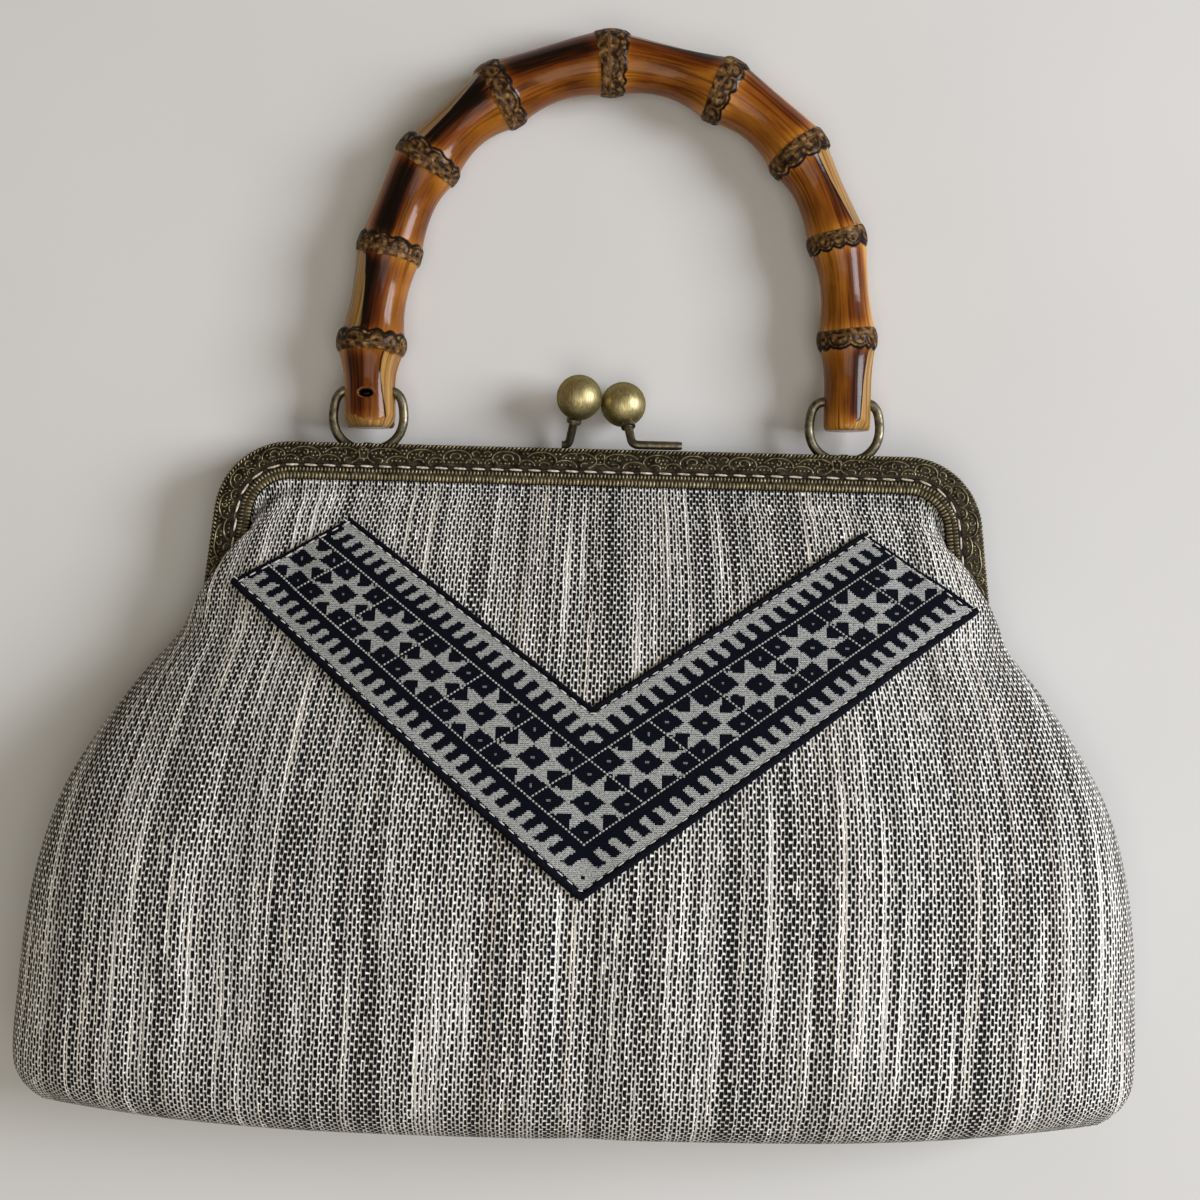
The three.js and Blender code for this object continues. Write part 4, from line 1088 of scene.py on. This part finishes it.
def through(points, steps, closed=False):
    """A centripetal spline through points, sampled at even shares of each span."""
    points = np.asarray(points, dtype=float)
    if closed:
        padded = np.concatenate([points[-1:], points, points[:2]])
    else:
        padded = np.concatenate([2 * points[:1] - points[1:2], points, 2 * points[-1:] - points[-2:-1]])
    share = np.linspace(0, 1, steps, endpoint=False)[:, None]
    line = []
    for a, b, c, d in zip(padded[:-3], padded[1:-2], padded[2:-1], padded[3:]):
        gap_ab, gap_bc, gap_cd = (np.linalg.norm(q - p) ** 0.5 for p, q in ((a, b), (b, c), (c, d)))
        leave = ((b - a) / gap_ab - (c - a) / (gap_ab + gap_bc) + (c - b) / gap_bc) * gap_bc
        arrive = ((c - b) / gap_bc - (d - b) / (gap_bc + gap_cd) + (d - c) / gap_cd) * gap_bc
        line.append(b + leave * share + (3 * (c - b) - 2 * leave - arrive) * share ** 2
                    + (leave + arrive - 2 * (c - b)) * share ** 3)
    return np.concatenate(line + ([] if closed else [points[-1:]]))


outline = through(RING_OUTLINE, RING_STEPS, closed=True)
level = np.full(len(outline), PARTING_Z)
for spot, name in zip(RING_SPOTS, ("left", "right")):
    points, faces = swept(to_part(outline[:, 0] + spot, -outline[:, 1], level),
                          np.full(len(outline), RING_WIRE / 2), RING_AROUND, closed=True)
    ring_piece = mesh_piece("d_ring_" + name, points, faces, wire_brass)
    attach(ring_piece, "rings")
    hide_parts("ring_" + name)


# The handle. One length of root bamboo bent to an arch over heat, its nodes left with their root
# scars, scorched with a flame along the outer side and varnished; both ends are drilled for the rings.
HANDLE_SHIFT = 1.5
# Nodes from the left end: across, rise, radius at the node and at the waist of the culm after it, and
# half length of the cork ring.
KNOTS = [
    (-62.6, 4.7, 6.6, 6.7, 0), (-62.8, 26.6, 9.0, 7.5, 2.4), (-58.7, 51.5, 8.5, 7.5, 2.3),
    (-49.1, 75.3, 8.9, 7.4, 2.6), (-30.2, 93.4, 9.2, 7.4, 2.7), (-1.3, 102.81, 8.6, 6.9, 3.4),
    (28.4, 96.3, 8.8, 7.2, 2.6), (48.9, 80.1, 8.4, 6.8, 2.6), (59.8, 57.3, 7.7, 6.3, 2.2),
    (63.2, 31.2, 7.7, 6.2, 2.3), (63.8, 7.0, 6.2, 6.2, 0),
]
SPAN_STEPS = 48
AROUND = 96
SWELL_AT = [0, 0.04, 0.09, 0.15, 0.2, 0.26, 0.34, 0.42, 0.5]
SWELL = [1.0, 0.96, 0.85, 0.62, 0.45, 0.3, 0.13, 0.03, 0.0]
# Look of each culm from the left end: how golden, burn strength, its angle from the inner side over
# the front, its spread, and the angle and half width of a pale groove or flaked strip, if any.
CULMS = [
    (0.42, 0.40, 110, 36, 24, 5.8), (0.42, 1.00, 113, 30, 154, 6.4), (0.38, 0.90, 108, 25, 0, 0),
    (0.42, 1.15, 117, 34, 157, 6.0), (0.30, 0.68, 118, 30, 0, 0), (0.44, 0.52, 130, 30, 166, 3.8),
    (0.58, 0.42, 130, 28, 0, 0), (0.52, 0.55, 116, 28, 153, 5.2), (0.56, 0.50, 112, 24, 0, 0),
    (0.50, 0.72, 110, 24, 147, 3.4),
]
FLAKED = (0, 9)
FIBRE_ROUND = 7.0
CULM_APART = 400.0
NODE_GOLD = 0.42
NODE_GOLD_REACH = 0.17
# The outer edge is painted paler: partly unscorched skin, partly a painted highlight along it.
OUTER_PALE_AND_HIGHLIGHT = 0.5
OUTER_FROM = 138.0
OUTER_FADE = 22.0
BURN_ENDS = 1.7
# The cork ring: how far its pattern turns from node to node, its scallops, and its round scars.
NODE_PHASE = 1.7
SCALLOP = 1.0
SCALLOP_BLUNT = 0.7
CORK_WAVE = 0.35
CORK_SIDE = 0.5
SCARS = 11
SCAR_UNEVEN = 0.1
SCAR_OFF = 0.5
SCAR_HALF = 0.47
CORK_RISE = 0.3
SCAR_RIM = 0.16
SCAR_RIM_AT = 0.75
SCAR_RIM_WIDE = 0.25
SCAR_PIT = 0.35
GROOVE_DEPTH = 0.5
GROOVE_SIDE = 1.2
GROOVE_ENDS = (1.15, 0.55)
FLAKE_ENDS = (0.35, 1.0)
# The knife cuts at the ends: how far they reach, waves, and the angle and spread of the right one.
CUT_LEFT = 2.3
CUT_LEFT_WAVE = 0.8
CUT_LEFT_PHASE = 0.6
CUT_RIGHT = 3.4
CUT_RIGHT_AT = 128
CUT_RIGHT_SPREAD = 34
CUT_RIGHT_LESS = 0.4
CUT_FRONT = -0.3
CUT_SLOPE = 0.55
END_ROUND = 0.7
END_SLOPE = 0.6
# Sight hole: across from the left ring, rise, half width and half height of a shallow dent, painted near
# black inside as shade.
SIGHT_HOLE = (-0.2, 13.3, 2.0, 1.15)
SIGHT_DEPTH = 4.0
SIGHT_SIDE = 0.4
TABLE_CLEAR = 0.02
NOWHERE = 9.0
# Noise scales, per millimetre along and round the culm: fibres are about 30 mm long and 1 mm wide,
# clouds of colour 14 by 5 mm, and cork crumbs 1.3 mm.
FIBRE_SCALE = (0.035, 1.1, 1.1)
CLOUD_SCALE = (0.07, 0.2, 0.2)
CRUMB_SCALE = 0.75
# How much fibre and cloud there is in the gold and in the scorch, and the range of each.
GOLD_CLOUD = 1.4
GOLD_FIBRE = 1.9
GOLD_SPAN = (0.9, 2.76)
SCORCH_CLOUD = 0.4
SCORCH_FIBRE = 2.2
SCORCH_SPAN = (0.2, 1.15)

# Each row of the mesh is a ring of the culm and each column an angle from the inner side over the front.
knots = np.array(KNOTS)
middle = through(knots[:, :2] + (HANDLE_SHIFT, 0), SPAN_STEPS)
run = run_along(np.linalg.norm(np.diff(middle, axis=0), axis=1))
place = np.minimum(np.arange(len(middle)) / SPAN_STEPS, len(KNOTS) - 1)
span = np.minimum(place.astype(int), len(KNOTS) - 2)
share = place - span
near_knot = np.where(share < 0.5, span, span + 1)
end_gap = np.minimum(run, run[-1] - run)[:, None]
off_knot = (run - run[near_knot * SPAN_STEPS])[:, None]
span, share, near_knot = span[:, None], share[:, None], near_knot[:, None]
off_node = np.minimum(share, 1 - share)
waist = knots[span, 3]
radius = waist + (knots[near_knot, 2] - waist) * np.interp(off_node, SWELL_AT, SWELL)
angle = round_angles(AROUND)[None]
degrees = np.degrees(angle)
# Depth inside the cork ring, which ends in scallops on the far side of each node, and the distance
# from the middle of the nearest round scar where a root grew.
cork_half = knots[near_knot, 4]
phase = NODE_PHASE * near_knot
uneven = angle + SCAR_UNEVEN * np.sin(3 * angle + 2 * phase)
scalloped = cork_half + SCALLOP * np.abs(np.cos(SCARS / 2 * uneven + phase)) ** SCALLOP_BLUNT - off_knot
far = np.where(cork_half > 0, scalloped, -NOWHERE)
cork = np.minimum(far, cork_half + CORK_WAVE * np.sin(2 * angle + phase) + off_knot)
pitch = 2 * math.pi / SCARS
off_scar = (uneven + phase * 2 / SCARS + pitch / 2) % pitch - pitch / 2
scar = np.hypot(off_scar * radius, off_knot - SCAR_OFF) / (SCAR_HALF * pitch * radius)
scar_edge = SCAR_RIM * np.exp(-((scar - SCAR_RIM_AT) / SCAR_RIM_WIDE) ** 2)
scar_pit = CORK_RISE * np.exp(-(scar / SCAR_PIT) ** 2)
radial = radius + np.clip(cork / CORK_SIDE, 0, 1) * (CORK_RISE + (scar_edge - scar_pit))
gold, strength, burn_at, burn_wide, groove_at, groove_half = np.moveaxis(np.array(CULMS)[span], -1, 0)
gold = gold + NODE_GOLD * np.exp(-(off_node / NODE_GOLD_REACH) ** 2)
# Paler towards the outer edge: partly unscorched skin, partly a painted highlight.
gold = gold + OUTER_PALE_AND_HIGHLIGHT * np.clip((degrees - OUTER_FROM) / OUTER_FADE, 0, 1)
burn = strength * np.exp(-(np.abs(degrees - burn_at) / burn_wide) ** 2)
burn = burn * np.clip(np.sin(math.pi * share) * BURN_ENDS, 0, 1)
# A flaked strip widens along its culm, and a groove narrows.
flake, narrow = (np.interp(share, (0, 1), ends) for ends in (FLAKE_ENDS, GROOVE_ENDS))
taper = np.where(np.isin(span, FLAKED), flake, narrow)
groove = groove_half * taper - np.abs(np.radians(degrees - groove_at) * radius)
groove = np.where((groove_half > 0) & (cork < 0), groove, -NOWHERE)
radial = radial - GROOVE_DEPTH * np.clip(groove / GROOVE_SIDE, 0, 1)
# The ends are cut off with a few oblique strokes of a knife over the front.
cut_left = CUT_LEFT + CUT_LEFT_WAVE * np.sin(3 * angle + CUT_LEFT_PHASE)
cut_right = CUT_RIGHT * np.exp(-((degrees - CUT_RIGHT_AT) / CUT_RIGHT_SPREAD) ** 2) - CUT_RIGHT_LESS
cut = np.where(span < len(KNOTS) / 2, cut_left, cut_right)
cut = np.where(np.sin(angle) > CUT_FRONT, cut, 0.0) - end_gap
radial = radial - CUT_SLOPE * np.maximum(0, cut) - END_SLOPE * np.maximum(0, END_ROUND - end_gap)
way = unit(np.gradient(middle, axis=0))
across = middle[:, [0]] + way[:, [1]] * np.cos(angle) * radial
rise = middle[:, [1]] - way[:, [0]] * np.cos(angle) * radial
height = PARTING_Z + np.sin(angle) * radial
hole_x, hole_rise, hole_wide, hole_high = SIGHT_HOLE
hole = np.hypot((across - RING_SPOTS[0] - hole_x) / hole_wide, (rise - hole_rise) / hole_high)
hole = np.where(height > PARTING_Z, hole, NOWHERE)
height = np.maximum(height - SIGHT_DEPTH * np.clip((1 - hole) / SIGHT_SIDE, 0, 1), TABLE_CLEAR)

# Root bamboo, flame scorched and varnished: amber to red-brown fibre with soft black scorch, tan cork
# with black-ringed scars at the nodes, pale grooves and flakes, all under a clear glossy coat.
bamboo_skin, tree = material_tree("scorched_varnished_bamboo")
culm = add(tree, "Attribute", attribute_name="culm").outputs["Vector"]
MARKS = {"gold": gold, "burn": burn, "cork": cork, "far": far, "scar": scar, "groove": groove, "cut": cut,
         "hole": hole}
marks = {name: add(tree, "Attribute", attribute_name=name).outputs["Fac"] for name in MARKS}
fibre_lay = add(tree, "Mapping", {"Vector": culm, "Scale": FIBRE_SCALE})
fibre = add(tree, "TexNoise", {"Vector": fibre_lay, "Scale": 1.0, "Detail": 4.0})
cloud_lay = add(tree, "Mapping", {"Vector": culm, "Scale": CLOUD_SCALE})
cloud = add(tree, "TexNoise", {"Vector": cloud_lay, "Scale": 1.0, "Detail": 3.0})
crumb = add(tree, "TexNoise", {"Vector": culm, "Scale": CRUMB_SCALE, "Detail": 3.0})


def ragged(name, noise, wobble):
    """A marked depth made uneven by a noise."""
    centred = add(tree, "Math.SUBTRACT", (noise, 0.5))
    return add(tree, "Math.MULTIPLY_ADD", (centred, wobble, marks[name]))


def ringed(depth, middle, inner, outer):
    """1 within a band about one depth, fading to 0."""
    off = add(tree, "Math.SUBTRACT", (depth, middle))
    off = add(tree, "Math.ABSOLUTE", [off])
    return add(tree, "MapRange", (off, inner, outer, 1.0, 0.0))


warm = add(tree, "Math.MULTIPLY_ADD", (cloud, GOLD_CLOUD, marks["gold"]))
warm = add(tree, "Math.MULTIPLY_ADD", (fibre, GOLD_FIBRE, warm))
warm = add(tree, "MapRange", (warm, *GOLD_SPAN))
base = add(tree, "ValToRGB", [warm], [
    (0.3, "#2c1205"), (0.45, "#4e2607"), (0.6, "#70400c"), (0.76, "#905b18"), (0.95, "#b88538")])
scorch = add(tree, "Math.MULTIPLY_ADD", (cloud, SCORCH_CLOUD, ragged("burn", fibre, SCORCH_FIBRE)))
scorch = add(tree, "MapRange", (scorch, *SCORCH_SPAN))
burnt = add(tree, "ValToRGB", [scorch], [
    (0.0, "#ffffff"), (0.25, "#cfac92"), (0.5, "#86644f"), (0.75, "#3a271d"), (1.0, "#140c09")])
skin = add(tree, "Mix", {"Factor": 1.0, 6: base, 7: burnt}, data_type="RGBA", blend_type="MULTIPLY")
skin = skin.outputs[2]
bare = add(tree, "ValToRGB", [fibre], [(0.3, "#6d4a22"), (0.5, "#926d3a"), (0.7, "#b08e56")])
groove_depth = ragged("groove", fibre, 1.0)
groove_mask = add(tree, "MapRange", (groove_depth, 0.0, 0.25))
cut_mask = add(tree, "MapRange", (ragged("cut", crumb, 1.6), 0.0, 0.3))
cork_mask = add(tree, "MapRange", (ragged("cork", crumb, 0.8), 0.0, 0.2))
cork_tone = add(tree, "ValToRGB", [crumb], [
    (0.34, "#1e1209"), (0.45, "#412b17"), (0.56, "#644829"), (0.68, "#8a6b42")])
# Black lines: round the scallops of the cork, partly a dark edge and partly painted shadow under its raised
# rim, and round and in the scars.
scar_depth = ragged("scar", crumb, 0.45)
scar_side = add(tree, "MapRange", (marks["far"], 2.2, 4.2, 1.0, 0.0))
scar_rim = add(tree, "Math.MULTIPLY", (ringed(scar_depth, 0.9, 0.08, 0.22), scar_side))
scar_lines = add(tree, "Math.MAXIMUM", (scar_rim, ringed(scar_depth, 0.0, 0.16, 0.34)))
scar_lines = add(tree, "Math.MULTIPLY", (scar_lines, cork_mask))
scar_lines = add(tree, "Math.MULTIPLY", (scar_lines, 0.85))
# The line round the scallops is partly painted shadow under the raised cork.
lines = add(tree, "Math.MAXIMUM", (scar_lines, ringed(ragged("far", crumb, 1.0), 0.15, 0.25, 0.6)))
# The last two marks paint the sight hole: a brown rim, and painted shade near black inside its shallow dent.
for mask, colour in (
        (ringed(groove_depth, -0.2, 0.12, 0.35), linear("#0d0604")), (groove_mask, bare), (cut_mask, bare),
        (cork_mask, cork_tone), (lines, linear("#0f0805")),
        (ringed(ragged("hole", crumb, 0.5), 1.12, 0.04, 0.22), linear("#6b421c")),
        (ringed(marks["hole"], 0.0, 0.85, 1.0), linear("#080403"))):
    skin = add(tree, "Mix", {"Factor": mask, 6: skin, 7: colour}, data_type="RGBA").outputs[2]
grit = add(tree, "Math.MULTIPLY", (crumb, cork_mask))
grit = add(tree, "Math.MULTIPLY_ADD", (fibre, 0.22, grit))
bump = add(tree, "Bump", {"Height": grit, "Strength": 0.4, "Distance": 0.3 * MM})
dull = add(tree, "MapRange", (cork_mask, 0.0, 1.0, 0.4, 0.7))
gloss = add(tree, "MapRange", (cork_mask, 0.0, 1.0, 0.6, 0.2))
shader = add(tree, "BsdfPrincipled", {
    "Base Color": skin, "Roughness": dull, "Specular IOR Level": 0.06, "Coat Weight": gloss,
    "Coat Roughness": 0.13, "Coat IOR": 1.34, "Normal": bump, "Coat Normal": bump})
add(tree, "OutputMaterial", {"Surface": shader})

handle = mesh_piece("bamboo_arch", to_part(across, -rise, height).reshape(-1, 3),
                    tube_faces(len(middle), AROUND), bamboo_skin)
lay = np.broadcast_arrays(run[:, None] + CULM_APART * span, FIBRE_ROUND * np.cos(angle),
                          FIBRE_ROUND * np.sin(angle))
mark(handle, "culm", "FLOAT_VECTOR", np.stack(lay, axis=-1))
for name, values in MARKS.items():
    mark(handle, name, "FLOAT", np.broadcast_to(values, cork.shape))
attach(handle, "handle")
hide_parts("bamboo_handle")
